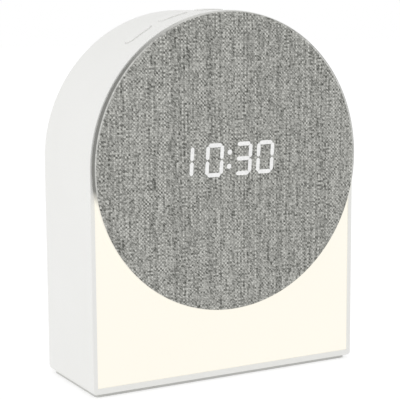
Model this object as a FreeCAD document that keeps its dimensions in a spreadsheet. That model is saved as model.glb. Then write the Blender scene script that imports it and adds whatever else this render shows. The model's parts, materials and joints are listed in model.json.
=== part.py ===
import FreeCAD, Part
import math
import os
import re
import Sketcher
from FreeCAD import Vector

# Sunrise alarm clock: an arch-topped case, a lit panel below and a cloth-covered disc with a clock display.
# Millimetres. +Z is up, the face looks along -Y, and the origin is the centre of the box's underside.
# Most pieces are drawn about the arch's centre, where local y is the depth behind the case's front plane.

SIZES = (
    # Case
    ("case_width", 165, "outside width of the case"),
    ("case_height", 201, "case alone, without the pad that stands below it"),
    ("case_depth", 68, "front rim to back face"),
    ("wall", 2.5, "side, top and back wall of the case"),
    ("floor_wall", 3.2, "bottom wall of the case"),
    ("rear_radius", 9, "rounding round the back of the case"),
    ("corner_radius", 1.8, "rounding of the two bottom corners"),
    ("rim_radius", 0.4, "rounding of the front rim"),
    ("pad_stand", 2, "base pad below the case"),
    ("pad_recess", 1.2, "pocket that holds the base pad"),
    ("pad_inset", 2.4, "base pad's edge inside the case's edge"),
    ("pad_corner", 2.5, "corner radius of the base pad"),
    ("seat_gap", 0.2, "clearance of a piece laid in its seat"),
    ("overcut", 1, "cutting shapes beyond the face that they cut"),
    # Lit panel
    ("panel_recess", 0.4, "lit panel behind the front rim"),
    ("panel_thickness", 2.5, "lit panel"),
    ("layer_gap", 0.05, "between faces that lie against each other"),
    # Disc
    ("disc_margin", 0.9, "cloth disc's edge inside the case's side"),
    ("disc_rise", 0.5, "disc's centre above the arch's centre"),
    ("disc_projection", 3.4, "cloth disc in front of the rim"),
    ("cloth_thickness", 0.45, "cloth over the disc"),
    ("cloth_return", 6, "cloth turned in behind the disc"),
    ("grille_thickness", 1.7, "moulded disc under the cloth"),
    ("grille_rounding", 0.3, "rounding of the disc's front edge"),
    ("ring_inset", 8.6, "ring that carries the disc, inside the disc's edge"),
    ("ring_wall", 2.4, "ring that carries the disc"),
    ("peg_radius", 2.2, "pegs that hold the disc"),
    ("peg_inset", 9, "pegs' centres inside the ring's outside"),
    ("peg_end", 1, "pegs behind the chassis"),
    # Chassis
    ("chassis_thickness", 2.5, "chassis plate behind the lit panel"),
    ("tray_depth", 20, "white tray behind the lit panel"),
    ("tray_wall", 1.2, "wall of the white tray"),
    ("tray_top", 22, "tray's top edge below the arch's centre"),
    ("tray_margin", 2.6, "tray's edge inside the case's wall"),
    ("board_thickness", 1.6, "circuit boards"),
    ("lamp_width", 3.5, "lamp chip"),
    ("lamp_height", 2.8, "lamp chip"),
    ("lamp_thickness", 0.8, "lamp chip"),
    ("lamp_pitch", 14, "lamp chips apart"),
    ("post_radius", 4.5, "screw posts on the case's wall"),
    ("post_inset", 3.6, "screw posts' centres inside the case's wall"),
    ("post_length", 30, "screw posts"),
    ("lamp_lead_x", 40, "lamps' lead, to the right of the middle"),
    ("lamp_lead_rise", 22, "lamps' lead above the case's floor"),
    ("post_low_angle", 92, "lower screw posts, from the top"),
    ("post_high_angle", 52, "upper screw posts, from the top"),
    # Screws
    ("screw_radius", 1.4, "shank of a case screw"),
    ("screw_head_radius", 2.6, "head of a case screw"),
    ("screw_head", 1.2, "head's height"),
    ("screw_length", 9, "shank's length"),
    ("screw_gap", 0.05, "radial clearance round a shank"),
    ("small_screw_radius", 1.0, "shank of a small screw"),
    ("small_head_radius", 2.0, "head of a small screw"),
    ("small_head", 1.0, "small head's height"),
    ("small_screw_length", 5, "small shank's length"),
    ("boss_radius", 3.6, "bosses for the back cover's screws"),
    ("boss_length", 3, "bosses in front of the ledge"),
    ("recess_width", 0.6, "slot width of a cross recess"),
    ("recess_depth", 0.6, "depth of a cross recess"),
    # Display
    ("display_rise", 2, "display's centre above the disc's centre"),
    ("display_width", 64, "display housing"),
    ("display_height", 24, "display housing"),
    ("display_board_thickness", 1.2, "board behind the display"),
    ("display_board_margin", 1.5, "board's edge outside the housing"),
    ("digit_height", 18, "digit, over its bars"),
    ("digit_width", 10.8, "digit, over its bars"),
    ("digit_slant", 3.6, "digits' lean to the right"),
    ("bar_width", 2, "lit bar"),
    ("bar_gap", 0.5, "between two bars' tips"),
    ("bar_depth", 2.4, "light guide of a bar"),
    ("digit_one", -24.4, "centre of the tens of hours"),
    ("digit_two", -10.5, "centre of the hours"),
    ("digit_colon", -1.3, "centre of the colon"),
    ("digit_three", 7.4, "centre of the tens of minutes"),
    ("digit_four", 21.4, "centre of the minutes"),
    ("colon_spread", 7.7, "the colon's dots apart"),
    ("colon_radius", 1.3, "dot of the colon"),
    ("display_peg_radius", 1.1, "pegs behind the display"),
    ("display_peg_inset", 3, "pegs from the display's ends"),
    ("display_lead_x", 22, "display's lead, to the right of the middle"),
    # Speaker
    ("flange_width", 3.5, "speaker's flange beyond the opening in front of the cone"),
    ("opening_gap", 0.5, "opening in front of the cone, beyond the surround"),
    ("gasket_thickness", 0.8, "speaker's gasket"),
    ("flange_thickness", 1.0, "speaker's flange"),
    ("basket_depth", 12, "flange's face to the basket's floor"),
    ("plate_thickness", 2, "magnet's front plate"),
    ("magnet_thickness", 6, "magnet"),
    ("magnet_radius", 17.5, "magnet"),
    ("yoke_thickness", 2.5, "magnet's back plate"),
    ("plate_radius", 15.5, "magnet's front and back plates"),
    ("coil_radius", 7.45, "inside of the voice coil"),
    ("coil_thickness", 0.5, "voice coil's wall"),
    ("coil_length", 9, "voice coil"),
    ("coil_gap", 0.35, "air gap on each side of the voice coil"),
    ("cone_radius", 18.6, "cone's outer edge"),
    ("cone_thickness", 0.5, "cone's wall"),
    ("cone_depth", 5.6, "cone from edge to neck"),
    ("cap_radius", 9.2, "dust cap's edge"),
    ("cap_rise", 2.4, "crown of the dust cap"),
    ("roll_radius", 1.3, "half roll of the surround"),
    ("roll_thickness", 0.35, "rubber of the surround"),
    ("roll_lip", 0.8, "surround's flat lips"),
    ("spider_depth", 9, "spider behind the flange's face"),
    ("basket_floor_radius", 14.5, "inside of the basket at its floor"),
    ("basket_window_angle", 25, "half of each window in the basket"),
    ("terminal_width", 8, "terminal tab"),
    ("terminal_height", 6, "terminal tab"),
    ("terminal_thickness", 1, "terminal tab"),
    ("chamber_gap", 0.6, "between the speaker's flange and the closed cup behind it"),
    ("chamber_wall", 1.8, "wall of the cup"),
    ("chamber_depth", 33, "cup from the chassis to its floor"),
    ("chamber_rise", 6.2, "cup above the white tray"),
    ("perforation_radius", 1.5, "holes over the speaker"),
    ("perforation_margin", 1, "outer ring of holes inside the speaker's opening"),
    # Main board
    ("cover_inset", 20, "back cover's edge inside the case's outline"),
    ("cover_rounding", 0.4, "rounding of the back cover's edge"),
    ("cover_screw_rise", 20, "lower cover screws above the cover's foot"),
    ("cover_screw_angle", 60, "upper cover screws, from the top"),
    ("ledge_overlap", 2, "ledge behind the case's back wall"),
    ("ledge_width", 5, "ledge that the back cover lies on"),
    ("ledge_thickness", 2.5, "ledge that the back cover lies on"),
    ("main_board_width", 100, "main board"),
    ("main_board_height", 60, "main board"),
    ("main_board_drop", 46, "main board's centre below the arch's centre"),
    ("main_board_stand", 10, "main board in front of the back cover"),
    ("stand_radius", 3.2, "posts that carry the main board"),
    ("stand_inset", 5, "posts from the main board's edges"),
    ("socket_drop", 20, "power socket below the main board's centre"),
    ("socket_bore", 3.15, "bore of the power socket"),
    ("socket_wall", 1.25, "wall of the socket's nose"),
    ("socket_depth", 9.5, "depth of the bore"),
    ("socket_body", 11, "width of the socket's body"),
    ("socket_pin_radius", 1.0, "centre pin"),
    ("socket_pin_setback", 0.85, "centre pin behind the mouth of the bore"),
    ("processor_width", 12, "largest chip"),
    ("processor_x", -20, "largest chip from the board's middle"),
    ("processor_z", 4, "largest chip from the board's middle"),
    ("amplifier_width", 7, "smaller chip"),
    ("amplifier_x", 10, "smaller chip from the board's middle"),
    ("amplifier_z", 2, "smaller chip from the board's middle"),
    ("chip_thickness", 1.4, "chips"),
    ("capacitor_radius", 4, "power capacitors"),
    ("capacitor_height", 9, "power capacitors"),
    ("capacitor_x", -12, "first capacitor from the board's middle"),
    ("capacitor_z", -20, "capacitors from the board's middle"),
    ("capacitor_pitch", 11, "capacitors apart"),
    ("shield_width", 18, "radio's screening can"),
    ("shield_height", 13, "radio's screening can"),
    ("shield_thickness", 2.6, "radio's screening can"),
    ("shield_inset", 3, "can from the board's left edge"),
    ("shield_z", -12, "can from the board's middle"),
    ("cell_radius", 10, "clock's back-up cell"),
    ("cell_thickness", 3.2, "clock's back-up cell"),
    ("holder_wall", 1.2, "wall of the cell's holder"),
    ("holder_height", 3.6, "cell's holder"),
    ("cell_inset", 4.6, "cell's holder from the board's right edge"),
    ("cell_z", 2, "cell from the board's middle"),
    ("vent_length", 26, "slots in the back cover"),
    ("vent_width", 2, "slots in the back cover"),
    ("vent_pitch", 5, "slots apart"),
    ("vent_rise", 22, "lowest slot above the arch's centre"),
    # Buttons
    ("button_pitch_angle", 15.9, "buttons apart along the arch"),
    ("button_length", 17, "button along the arch"),
    ("button_width", 8.2, "button across the case"),
    ("button_raise", 0.7, "button above the case"),
    ("button_setback", 21, "buttons' centre behind the rim"),
    ("button_gap", 0.22, "gap round a button"),
    ("button_edge", 0.4, "rounding of a button's face"),
    ("button_travel", 0.5, "button's travel"),
    ("flange_margin", 1.2, "button's flange beyond its face"),
    ("button_flange", 1, "thickness of the button's flange"),
    ("flange_play", 0.3, "flange below the case's wall"),
    ("leg_radius", 1.8, "leg under a button"),
    ("bracket_thickness", 3, "arched bracket"),
    ("bracket_drop", 13.5, "arched bracket below the case's top"),
    ("bracket_width", 24, "arched bracket across the case"),
    ("bracket_angle", 46, "half the bracket's arc"),
    ("flex_thickness", 0.3, "flexible board on the bracket"),
    ("flex_width", 9, "flexible board across the case"),
    ("flex_angle", 37, "half the flexible board's arc"),
    ("switch_width", 6, "push switch"),
    ("switch_height", 3.1, "push switch without its stem"),
    ("stem_radius", 1.7, "stem of a push switch"),
    ("stem_depth", 1.5, "stem inside the switch"),
    ("stem_height", 1.2, "stem above the switch"),
    ("stem_gap", 0.08, "radial clearance round a stem"),
    ("bracket_boss_radius", 2.6, "bosses that carry the bracket"),
    ("bracket_boss_angle", 42, "bosses, from the top"),
    ("bracket_boss_spread", 17, "front and rear bosses apart"),
    # Leads
    ("lead_radius", 1.1, "sleeved leads"),
    ("lead_bend", 7, "bend of a lead"),
    ("lead_end", 10.5, "straight end of a lead at its connector"),
    ("button_lead_angle", 35, "buttons' lead on the flexible board, from the top"),
    ("plug_x", 30, "display's and buttons' connectors beside the middle"),
    ("plug_drop", 8, "upper connectors below the board's top"),
    ("lamp_plug_x", 36, "lamps' connector beside the middle"),
    ("lamp_plug_rise", 8, "lamps' connector above the board's foot"),
    ("plug_width", 8, "connector on the main board"),
    ("plug_height", 5, "connector on the main board"),
    ("plug_depth", 6, "connector on the main board"),
)

NAMES = [alias for alias, number, note in SIZES]

# Places that several pieces share, as expressions in the sheet's sizes.
FRONT_Y = "((disc_projection - case_depth) / 2)"
ARCH_Z = "(pad_stand + case_height - case_width / 2)"
PAD_HALF_DEPTH = "((case_depth - rear_radius - pad_inset) / 2)"   # the pad ends where the rear rounding begins
PAD_MIDDLE = "((case_depth - rear_radius + pad_inset) / 2)"
DISC_Z = "disc_rise"
HALF = "(case_width / 2)"
INSIDE = "(case_width / 2 - wall)"
CASE_FOOT = "(case_width / 2 - case_height)"
INSIDE_FOOT = "(%s + floor_wall)" % CASE_FOOT
CHASSIS_FACE = "(panel_recess + panel_thickness + seat_gap)"
CHASSIS_BACK = "(%s + chassis_thickness)" % CHASSIS_FACE
POST_FACE = "(%s + layer_gap)" % CHASSIS_BACK
GRILLE_FACE = "(cloth_thickness + layer_gap - disc_projection)"
GRILLE_BACK = "(%s + grille_thickness)" % GRILLE_FACE
DISC_RADIUS = "(%s - disc_margin)" % HALF
GRILLE_RADIUS = "(%s - cloth_thickness - layer_gap)" % DISC_RADIUS
RING_RADIUS = "(%s - ring_inset)" % DISC_RADIUS
PEG_CIRCLE = "(%s - peg_inset)" % RING_RADIUS
POST_CIRCLE = "(%s - post_inset)" % INSIDE
BACK_INSIDE = "(case_depth - wall)"
COVER_FACE = "(case_depth - wall + layer_gap)"
BOARD_BACK = "(%s - layer_gap - main_board_stand)" % COVER_FACE
BOARD_FACE = "(%s - board_thickness)" % BOARD_BACK
BOARD_Z = "(-main_board_drop)"
SOCKET_Z = "(-main_board_drop - socket_drop)"
SOCKET_RADIUS = "(socket_bore + socket_wall)"
SHIELD_X = "(shield_inset + shield_width / 2 - main_board_width / 2)"
HOLDER_RADIUS = "(cell_radius + seat_gap + holder_wall)"
CELL_X = "(main_board_width / 2 - cell_inset - %s)" % HOLDER_RADIUS
TRAY_FACE = "(%s + layer_gap)" % CHASSIS_BACK
TRAY_BACK = "(%s + tray_depth)" % TRAY_FACE
LAMP_BOARD_BACK = "(%s - tray_wall - layer_gap)" % TRAY_BACK
LAMP_BOARD_FACE = "(%s - board_thickness)" % LAMP_BOARD_BACK
LAMP_LEAD_Z = "(%s + lamp_lead_rise)" % INSIDE_FOOT
SPEAKER_OPENING = "(cone_radius + 2 * roll_radius + roll_lip + opening_gap)"
SPEAKER_RADIUS = "(%s + flange_width)" % SPEAKER_OPENING
CHAMBER_RADIUS = "(%s + chamber_gap + chamber_wall)" % SPEAKER_RADIUS
SPEAKER_DROP = "(%s + tray_margin - %s - chamber_rise)" % (RING_RADIUS, CHAMBER_RADIUS)
SPEAKER_Z = "(disc_rise - %s)" % SPEAKER_DROP
SPEAKER_FACE = "(%s + gasket_thickness + 2 * layer_gap)" % CHASSIS_BACK
CHAMBER_FACE = "(%s + layer_gap)" % CHASSIS_BACK
CHAMBER_BACK = "(%s + chamber_depth)" % CHAMBER_FACE
FLANGE_INSIDE = "(cone_radius + 2 * roll_radius)"
COIL_OUTSIDE = "(coil_radius + coil_thickness)"
TERMINAL_FOOT = "(basket_floor_radius + flange_thickness + layer_gap)"
TERMINAL_FACE = "(basket_depth - flange_thickness)"
DISPLAY_Z = "(disc_rise + display_rise)"
DISPLAY_BOARD_FACE = "(%s - layer_gap - display_board_thickness)" % CHASSIS_FACE
DISPLAY_PEG_X = "(display_width / 2 - display_peg_inset)"
BRACKET_RADIUS = "(%s - bracket_drop)" % HALF
FLEX_FOOT = "(%s + layer_gap)" % BRACKET_RADIUS
SWITCH_FOOT = "(%s + flex_thickness + layer_gap)" % FLEX_FOOT
SWITCH_TOP = "(%s + switch_height)" % SWITCH_FOOT
STEM_TOP = "(%s + stem_height)" % SWITCH_TOP
FLANGE_TOP = "(sqrt(%s ^ 2 - (button_length / 2 + flange_margin) ^ 2) - flange_play)" % INSIDE
FLANGE_FOOT = "(%s - button_flange)" % FLANGE_TOP
BUTTON_TOP = "(case_width / 2 + button_raise)"
BOSS_FOOT = "(%s + layer_gap)" % BRACKET_RADIUS
PLUG_FACE = "(%s - layer_gap - plug_depth)" % BOARD_FACE
PLUG_Z = "(%s + main_board_height / 2 - plug_drop)" % BOARD_Z
LAMP_PLUG_Z = "(%s - main_board_height / 2 + lamp_plug_rise)" % BOARD_Z
SPEAKER_LEAD_Z = "(%s + magnet_radius + lead_radius + seat_gap)" % SPEAKER_Z

BUTTONS = ("light", "volume_down", "snooze", "volume_up", "sound")
FIRST_BUTTON = "(-%d * button_pitch_angle)" % (len(BUTTONS) // 2)
BUTTON_SPREAD = "(%d * button_pitch_angle)" % (len(BUTTONS) - 1)
BOSS_SIDES = ("(-bracket_boss_spread / 2)", "(bracket_boss_spread / 2)")
PEG_ANGLES = (0, 60, 120, 240, 300)
PERFORATION_RINGS = 5
VENT_ROWS = 5
RECESS_SHARE = 0.6      # of a screw head's radius, for each arm of its cross recess
TIGHTEST_SHARE = 0.45   # of a lead's shorter run, for the arc that joins two runs
SAME = 1e-4             # two places closer than this are one
NEAR = 0.1              # allowance for finding an edge that other roundings have trimmed
SCREWS = {
    "large": ("screw_head_radius", "screw_head", "screw_radius", "screw_length"),
    "small": ("small_head_radius", "small_head", "small_screw_radius", "small_screw_length"),
}

document = FreeCAD.newDocument("SunriseClock")
sheet = document.addObject("Spreadsheet::Sheet", "Sizes")
for row, (alias, number, note) in enumerate(SIZES, start=1):
    sheet.set("A%d" % row, note)
    sheet.set("B%d" % row, str(number))
    sheet.setAlias("B%d" % row, alias)
document.recompute()

pieces = []


# Expressions and points

def bound(text):
    """The expression with the sheet's name before each of its sizes."""
    return re.sub(r"[a-z_]+", lambda word: ("Sizes." if word[0] in NAMES else "") + word[0], str(text))


def value(text):
    """The expression's value in millimetres or degrees."""
    result = sheet.evalExpression(bound(text))
    return float(getattr(result, "Value", result))


def bind(item, prop, text):
    """Binds a property to an expression."""
    item.setExpression(prop, bound(text))


def polar(radius, angle):
    """Expressions for the point at a radius from the arch's centre, angle from the top towards +X."""
    return "(%s) * sin(%s)" % (radius, angle), "(%s) * cos(%s)" % (radius, angle)


def shifted(loop, x, z):
    """The loop moved by two expressions."""
    moved = []
    for corner in loop:
        pairs = ["(%s) + (%s)" % (number, (x, z)[place % 2]) for place, number in enumerate(corner[:4])]
        moved.append(tuple(pairs) + tuple(corner[4:]))
    return moved


# Closed outlines. Each corner is (x, z), or (x, z, centre x, centre z) where an arc leaves it
# anticlockwise, with a fifth entry "back" where the arc runs clockwise.

def box_loop(left, low, right, high):
    """Rectangle from its four sides."""
    return [(left, low), (right, low), (right, high), (left, high)]


def centred_loop(width, height):
    """Rectangle about the sketch's centre."""
    return box_loop("-(%s) / 2" % width, "-(%s) / 2" % height, "(%s) / 2" % width, "(%s) / 2" % height)


def rounded_loop(half_x, half_z, radius):
    """Rectangle about the sketch's centre with round corners."""
    x, z, r = "(%s)" % half_x, "(%s)" % half_z, "(%s)" % radius
    inner_x, inner_z = "(%s - %s)" % (x, r), "(%s - %s)" % (z, r)
    return [
        ("-" + inner_x, "-" + z),
        (inner_x, "-" + z, inner_x, "-" + inner_z),
        (x, "-" + inner_z),
        (x, inner_z, inner_x, inner_z),
        (inner_x, z),
        ("-" + inner_x, z, "-" + inner_x, inner_z),
        ("-" + x, inner_z),
        ("-" + x, "-" + inner_z, "-" + inner_x, "-" + inner_z),
    ]


def arch_loop(half, foot):
    """Half circle about the sketch's centre on two straight sides that end at the foot."""
    return [(half, foot), (half, "0", "0", "0"), ("-(%s)" % half, "0"), ("-(%s)" % half, foot)]


def band_loop(inner, outer, angle):
    """Part of a ring about the arch's centre, from -angle to +angle about the top."""
    right_out, up_out = polar(outer, angle)
    right_in, up_in = polar(inner, angle)
    return [
        (right_out, up_out, "0", "0"),
        ("-(%s)" % right_out, up_out),
        ("-(%s)" % right_in, up_in, "0", "0", "back"),
        (right_in, up_in),
    ]


def round_loop(x, z, radius):
    """Full circle."""
    return ("circle", x, z, radius)


# Sketches

def point(x, z):
    return Vector(value(x), value(z), 0)


def draw_circle(sketch, loop):
    """Adds one circle with its centre and radius bound."""
    centre = point(loop[1], loop[2])
    edge = sketch.addGeometry(Part.Circle(centre, Vector(0, 0, 1), value(loop[3])), False)
    rules = (
        (Sketcher.Constraint("DistanceX", -1, 1, edge, 3, centre.x), loop[1]),
        (Sketcher.Constraint("DistanceY", -1, 1, edge, 3, centre.y), loop[2]),
        (Sketcher.Constraint("Radius", edge, value(loop[3])), loop[3]),
    )
    for rule, text in rules:
        bind(sketch, "Constraints[%d]" % sketch.addConstraint(rule), text)


def draw_loop(sketch, loop):
    """Adds one closed outline of lines and arcs with every corner bound."""
    ends = []
    for place, corner in enumerate(loop):
        start = point(corner[0], corner[1])
        finish = point(*loop[(place + 1) % len(loop)][:2])
        if len(corner) == 2:
            edge = sketch.addGeometry(Part.LineSegment(start, finish), False)
            ends.append((edge, 1, 2))
            continue
        centre = point(corner[2], corner[3])
        first, last = (finish, start) if len(corner) == 5 else (start, finish)
        turn = [math.atan2(end.y - centre.y, end.x - centre.x) for end in (first, last)]
        circle = Part.Circle(centre, Vector(0, 0, 1), (start - centre).Length)
        edge = sketch.addGeometry(Part.ArcOfCircle(circle, turn[0], turn[1]), False)
        ends.append((edge, 2, 1) if len(corner) == 5 else (edge, 1, 2))
    following = ends[1:] + ends[:1]
    sketch.addConstraint([
        Sketcher.Constraint("Coincident", edge, out, after[0], after[1])
        for (edge, into, out), after in zip(ends, following)
    ])
    for place, corner in enumerate(loop):
        edge, into, out = ends[place]
        start = point(corner[0], corner[1])
        rules = [("DistanceX", into, start.x, corner[0]), ("DistanceY", into, start.y, corner[1])]
        if len(corner) > 2:
            finish = point(*loop[(place + 1) % len(loop)][:2])
            flat = abs(finish.x - start.x) >= abs(finish.y - start.y)
            text = corner[3] if flat else corner[2]
            rules.append(("DistanceY" if flat else "DistanceX", 3, value(text), text))
        for kind, end, number, text in rules:
            index = sketch.addConstraint(Sketcher.Constraint(kind, -1, 1, edge, end, number))
            bind(sketch, "Constraints[%d]" % index, text)


def sketch_on(body, name, role, loops, offset, turn=None):
    """Sketch on one of the body's origin planes. offset is (x, y, along the normal) of the sketch."""
    sketch = body.newObject("Sketcher::SketchObject", name)
    plane = [feature for feature in body.Origin.OriginFeatures if feature.Role == role][0]
    sketch.AttachmentSupport = [(plane, "")]
    sketch.MapMode = "FlatFace"
    if turn is None:
        for axis, text in zip("xyz", offset):
            bind(sketch, "AttachmentOffset.Base." + axis, text)
    else:
        vector = "vector(%s; %s; %s)" % tuple(bound(text) for text in offset)
        rotation = "rotation(vector(0; 1; 0); %s)" % bound(turn)
        sketch.setExpression("AttachmentOffset", "placement(%s; %s)" % (vector, rotation))
    for loop in loops:
        if loop[0] == "circle":
            draw_circle(sketch, loop)
        else:
            draw_loop(sketch, loop)
    return sketch


def face_sketch(body, name, loops, depth, x="0", z="0"):
    """Sketch that faces the front at a depth behind the front plane: sketch x is X and sketch y is Z."""
    return sketch_on(body, name, "XZ_Plane", loops, (x, z, "-(%s)" % depth))


def plan_sketch(body, name, loops, height, x="0", y="0"):
    """Sketch that faces up at a height: sketch x is X and sketch y is Y."""
    return sketch_on(body, name, "XY_Plane", loops, (x, y, height))


def radial_sketch(body, name, loops, radius, angle, y):
    """Sketch that faces away from the arch's centre, at an angle from the top."""
    x, z = polar(radius, angle)
    return sketch_on(body, name, "XY_Plane", loops, (x, y, z), turn=angle)


# Bodies and features

def new_body(label, x="0", y=FRONT_Y, z=ARCH_Z):
    """A piece in its place."""
    body = document.addObject("PartDesign::Body", label)
    body.Label = label
    body.AllowCompound = True
    for axis, text in zip("xyz", (x, y, z)):
        bind(body, "Placement.Base." + axis, text)
    pieces.append(body)
    return body


def turned_body(label, angle):
    """A piece drawn at the arch's top and turned about the arch's centre."""
    body = document.addObject("PartDesign::Body", label)
    body.Label = label
    place = "vector(0; %s; %s)" % (bound(FRONT_Y), bound(ARCH_Z))
    body.setExpression("Placement", "placement(%s; rotation(vector(0; 1; 0); %s))" % (place, bound(angle)))
    pieces.append(body)
    return body


def pad(body, sketch, length, reverse=False):
    """Material along the sketch's normal, or against it."""
    feature = body.newObject("PartDesign::Pad", "Pad")
    feature.Profile = sketch
    feature.Reversed = reverse
    bind(feature, "Length", length)
    document.recompute()
    return feature


def pocket(body, sketch, length, reverse=False):
    """Material removed against the sketch's normal, or along it."""
    before = body.Shape.Volume
    feature = body.newObject("PartDesign::Pocket", "Pocket")
    feature.Profile = sketch
    feature.Reversed = reverse
    bind(feature, "Length", length)
    document.recompute()
    if feature.Shape.Volume >= before:
        raise RuntimeError("%s: a pocket took nothing away" % body.Label)
    return feature


def solid(body, name, loops, depth, length, x="0", z="0"):
    """Material from a depth behind the front plane, rearwards."""
    return pad(body, face_sketch(body, name, loops, depth, x, z), length, reverse=True)


def cut(body, name, loops, depth, length, x="0", z="0"):
    """Pocket from a depth behind the front plane, rearwards."""
    return pocket(body, face_sketch(body, name, loops, depth, x, z), length)


def solids(body, name, loops, depth, length):
    """Separate solids, one feature each."""
    for place, loop in enumerate(loops):
        solid(body, "%s%d" % (name, place), [loop], depth, length)


def cuts(body, name, loops, depth, length):
    """Separate pockets, one feature each."""
    for place, loop in enumerate(loops):
        cut(body, "%s%d" % (name, place), [loop], depth, length)


def spun(body, name, loops):
    """Profile of (radius, depth) turned about the body's own front-to-back axis."""
    sketch = sketch_on(body, name, "XY_Plane", loops, ("0", "0", "0"))
    feature = body.newObject("PartDesign::Revolution", "Revolution")
    feature.Profile = sketch
    feature.ReferenceAxis = (sketch, ["V_Axis"])
    feature.Angle = 360
    document.recompute()
    return feature


def about(body, features, axis, angle, count):
    """Copies of features about an axis, spread over an angle."""
    pattern = body.newObject("PartDesign::PolarPattern", "PolarPattern")
    pattern.Originals = features
    pattern.Axis = axis
    bind(pattern, "Angle", angle)
    pattern.Occurrences = count
    body.Tip = pattern
    document.recompute()
    return pattern


def round_edges(body, radius, chosen):
    """Rounds the edges of the tip that the chosen test accepts."""
    base = body.Tip
    names = ["Edge%d" % place for place, edge in enumerate(base.Shape.Edges, start=1) if chosen(edge)]
    feature = body.newObject("PartDesign::Fillet", "Fillet")
    feature.Base = (base, names)
    bind(feature, "Radius", radius)
    document.recompute()
    return feature


def origin_axis(body, role):
    """One of the body's own axes."""
    return ([feature for feature in body.Origin.OriginFeatures if feature.Role == role][0], [""])


def flat_at(edge, depth):
    """True where the whole edge lies at one depth."""
    box = edge.BoundBox
    return abs(box.YMin - depth) < SAME and abs(box.YMax - depth) < SAME


# Case

def case_posts():
    """Centres of the four screw posts that carry the chassis."""
    angles = ("-post_low_angle", "-post_high_angle", "post_high_angle", "post_low_angle")
    return [polar(POST_CIRCLE, angle) for angle in angles]


def cover_screw_places():
    """Centres of the four screws that hold the back cover, in the middle of its ledge."""
    side = "(%s - cover_inset - ledge_width / 2)" % HALF
    low = "(%s + cover_inset + cover_screw_rise)" % CASE_FOOT
    x, z = polar(side, "cover_screw_angle")
    return [("-" + side, low), (side, low), ("(%s)" % x, z), ("-(%s)" % x, z)]


def make_cavity():
    """Inside of the case, with the back edges rounded to keep the wall even."""
    body = document.addObject("PartDesign::Body", "cavity")
    solid(body, "Outline", [arch_loop(INSIDE, INSIDE_FOOT)], "-overcut", "%s + overcut" % BACK_INSIDE)
    depth = value(BACK_INSIDE)
    round_edges(body, "rear_radius - wall", lambda edge: flat_at(edge, depth))
    return body


def make_housing():
    body = new_body("housing")
    solid(body, "Outline", [arch_loop(HALF, CASE_FOOT)], "0", "case_depth")
    depth = value("case_depth")
    round_edges(body, "rear_radius", lambda edge: flat_at(edge, depth))
    low = value("%s + rear_radius" % CASE_FOOT) + NEAR
    side = value("%s - rear_radius" % HALF) - NEAR

    def bottom_corner(edge):
        box = edge.BoundBox
        beside = min(abs(box.XMin), abs(box.XMax)) > side
        straight = box.XLength < SAME and box.ZLength < SAME
        mitred = abs(box.XLength - box.ZLength) < 10 * SAME and box.YLength > NEAR
        return box.ZMax < low and beside and (straight or mitred)

    round_edges(body, "corner_radius", bottom_corner)
    round_edges(body, "rim_radius", lambda edge: flat_at(edge, 0))
    hollow = body.newObject("PartDesign::Boolean", "Hollow")
    hollow.Type = "Cut"
    hollow.setObjects([make_cavity()])
    document.recompute()

    rings = [
        arch_loop("(%s - %s)" % (HALF, inset), "(%s + %s)" % (CASE_FOOT, inset))
        for inset in ("(cover_inset - ledge_overlap)", "(cover_inset + ledge_width)")
    ]
    solid(body, "Ledge", rings, "(%s - ledge_thickness)" % BACK_INSIDE, "ledge_thickness")
    opening = arch_loop("(%s - cover_inset)" % HALF, "(%s + cover_inset)" % CASE_FOOT)
    cut(body, "Opening", [opening], BACK_INSIDE, "wall")
    bosses = [round_loop(x, z, "boss_radius") for x, z in cover_screw_places()]
    boss_face = "(%s - ledge_thickness - boss_length)" % BACK_INSIDE
    solid(body, "CoverBosses", bosses, boss_face, "boss_length")
    holes = [round_loop(x, z, "small_screw_radius + screw_gap") for x, z in cover_screw_places()]
    hole_length = "(small_screw_length + layer_gap)"
    cut(body, "CoverHoles", holes, "(%s - %s)" % (BACK_INSIDE, hole_length), hole_length)

    posts = [round_loop(x, z, "post_radius") for x, z in case_posts()]
    solid(body, "Posts", posts, POST_FACE, "post_length")
    holes = [round_loop(x, z, "screw_radius + screw_gap") for x, z in case_posts()]
    cut(body, "PostHoles", holes, POST_FACE, "screw_length")

    half_length = "(button_length / 2 + button_gap)"
    half_width = "(button_width / 2 + button_gap)"
    slot = radial_sketch(
        body, "ButtonSlot", [rounded_loop(half_length, half_width, "(%s - layer_gap)" % half_width)],
        "%s + wall" % HALF, FIRST_BUTTON, "button_setback")
    first = pocket(body, slot, "3 * wall")
    about(body, [first], origin_axis(body, "Y_Axis"), BUTTON_SPREAD, len(BUTTONS))

    bosses = [round_loop("0", side, "bracket_boss_radius") for side in BOSS_SIDES]
    boss = radial_sketch(body, "BracketBoss", bosses, BOSS_FOOT, "-bracket_boss_angle", "button_setback")
    first = pad(body, boss, "%s - %s + wall / 2" % (INSIDE, BOSS_FOOT))
    about(body, [first], origin_axis(body, "Y_Axis"), "2 * bracket_boss_angle", 2)
    holes = [round_loop("0", side, "small_screw_radius + screw_gap") for side in BOSS_SIDES]
    hole = radial_sketch(body, "BracketHole", holes, BOSS_FOOT, "-bracket_boss_angle", "button_setback")
    first = pocket(body, hole, "small_screw_length", reverse=True)
    about(body, [first], origin_axis(body, "Y_Axis"), "2 * bracket_boss_angle", 2)

    pad_outline = rounded_loop(
        "%s - pad_inset + seat_gap" % HALF, "%s + seat_gap" % PAD_HALF_DEPTH, "pad_corner + seat_gap")
    recess = plan_sketch(body, "PadRecess", [pad_outline], CASE_FOOT, y=PAD_MIDDLE)
    pocket(body, recess, "pad_recess", reverse=True)
    return body


def make_base_pad():
    body = new_body("base_pad", z="0")
    outline = rounded_loop("%s - pad_inset" % HALF, PAD_HALF_DEPTH, "pad_corner")
    sketch = plan_sketch(body, "Outline", [outline], "0", y=PAD_MIDDLE)
    pad(body, sketch, "pad_stand + pad_recess - layer_gap")
    return body


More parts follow.
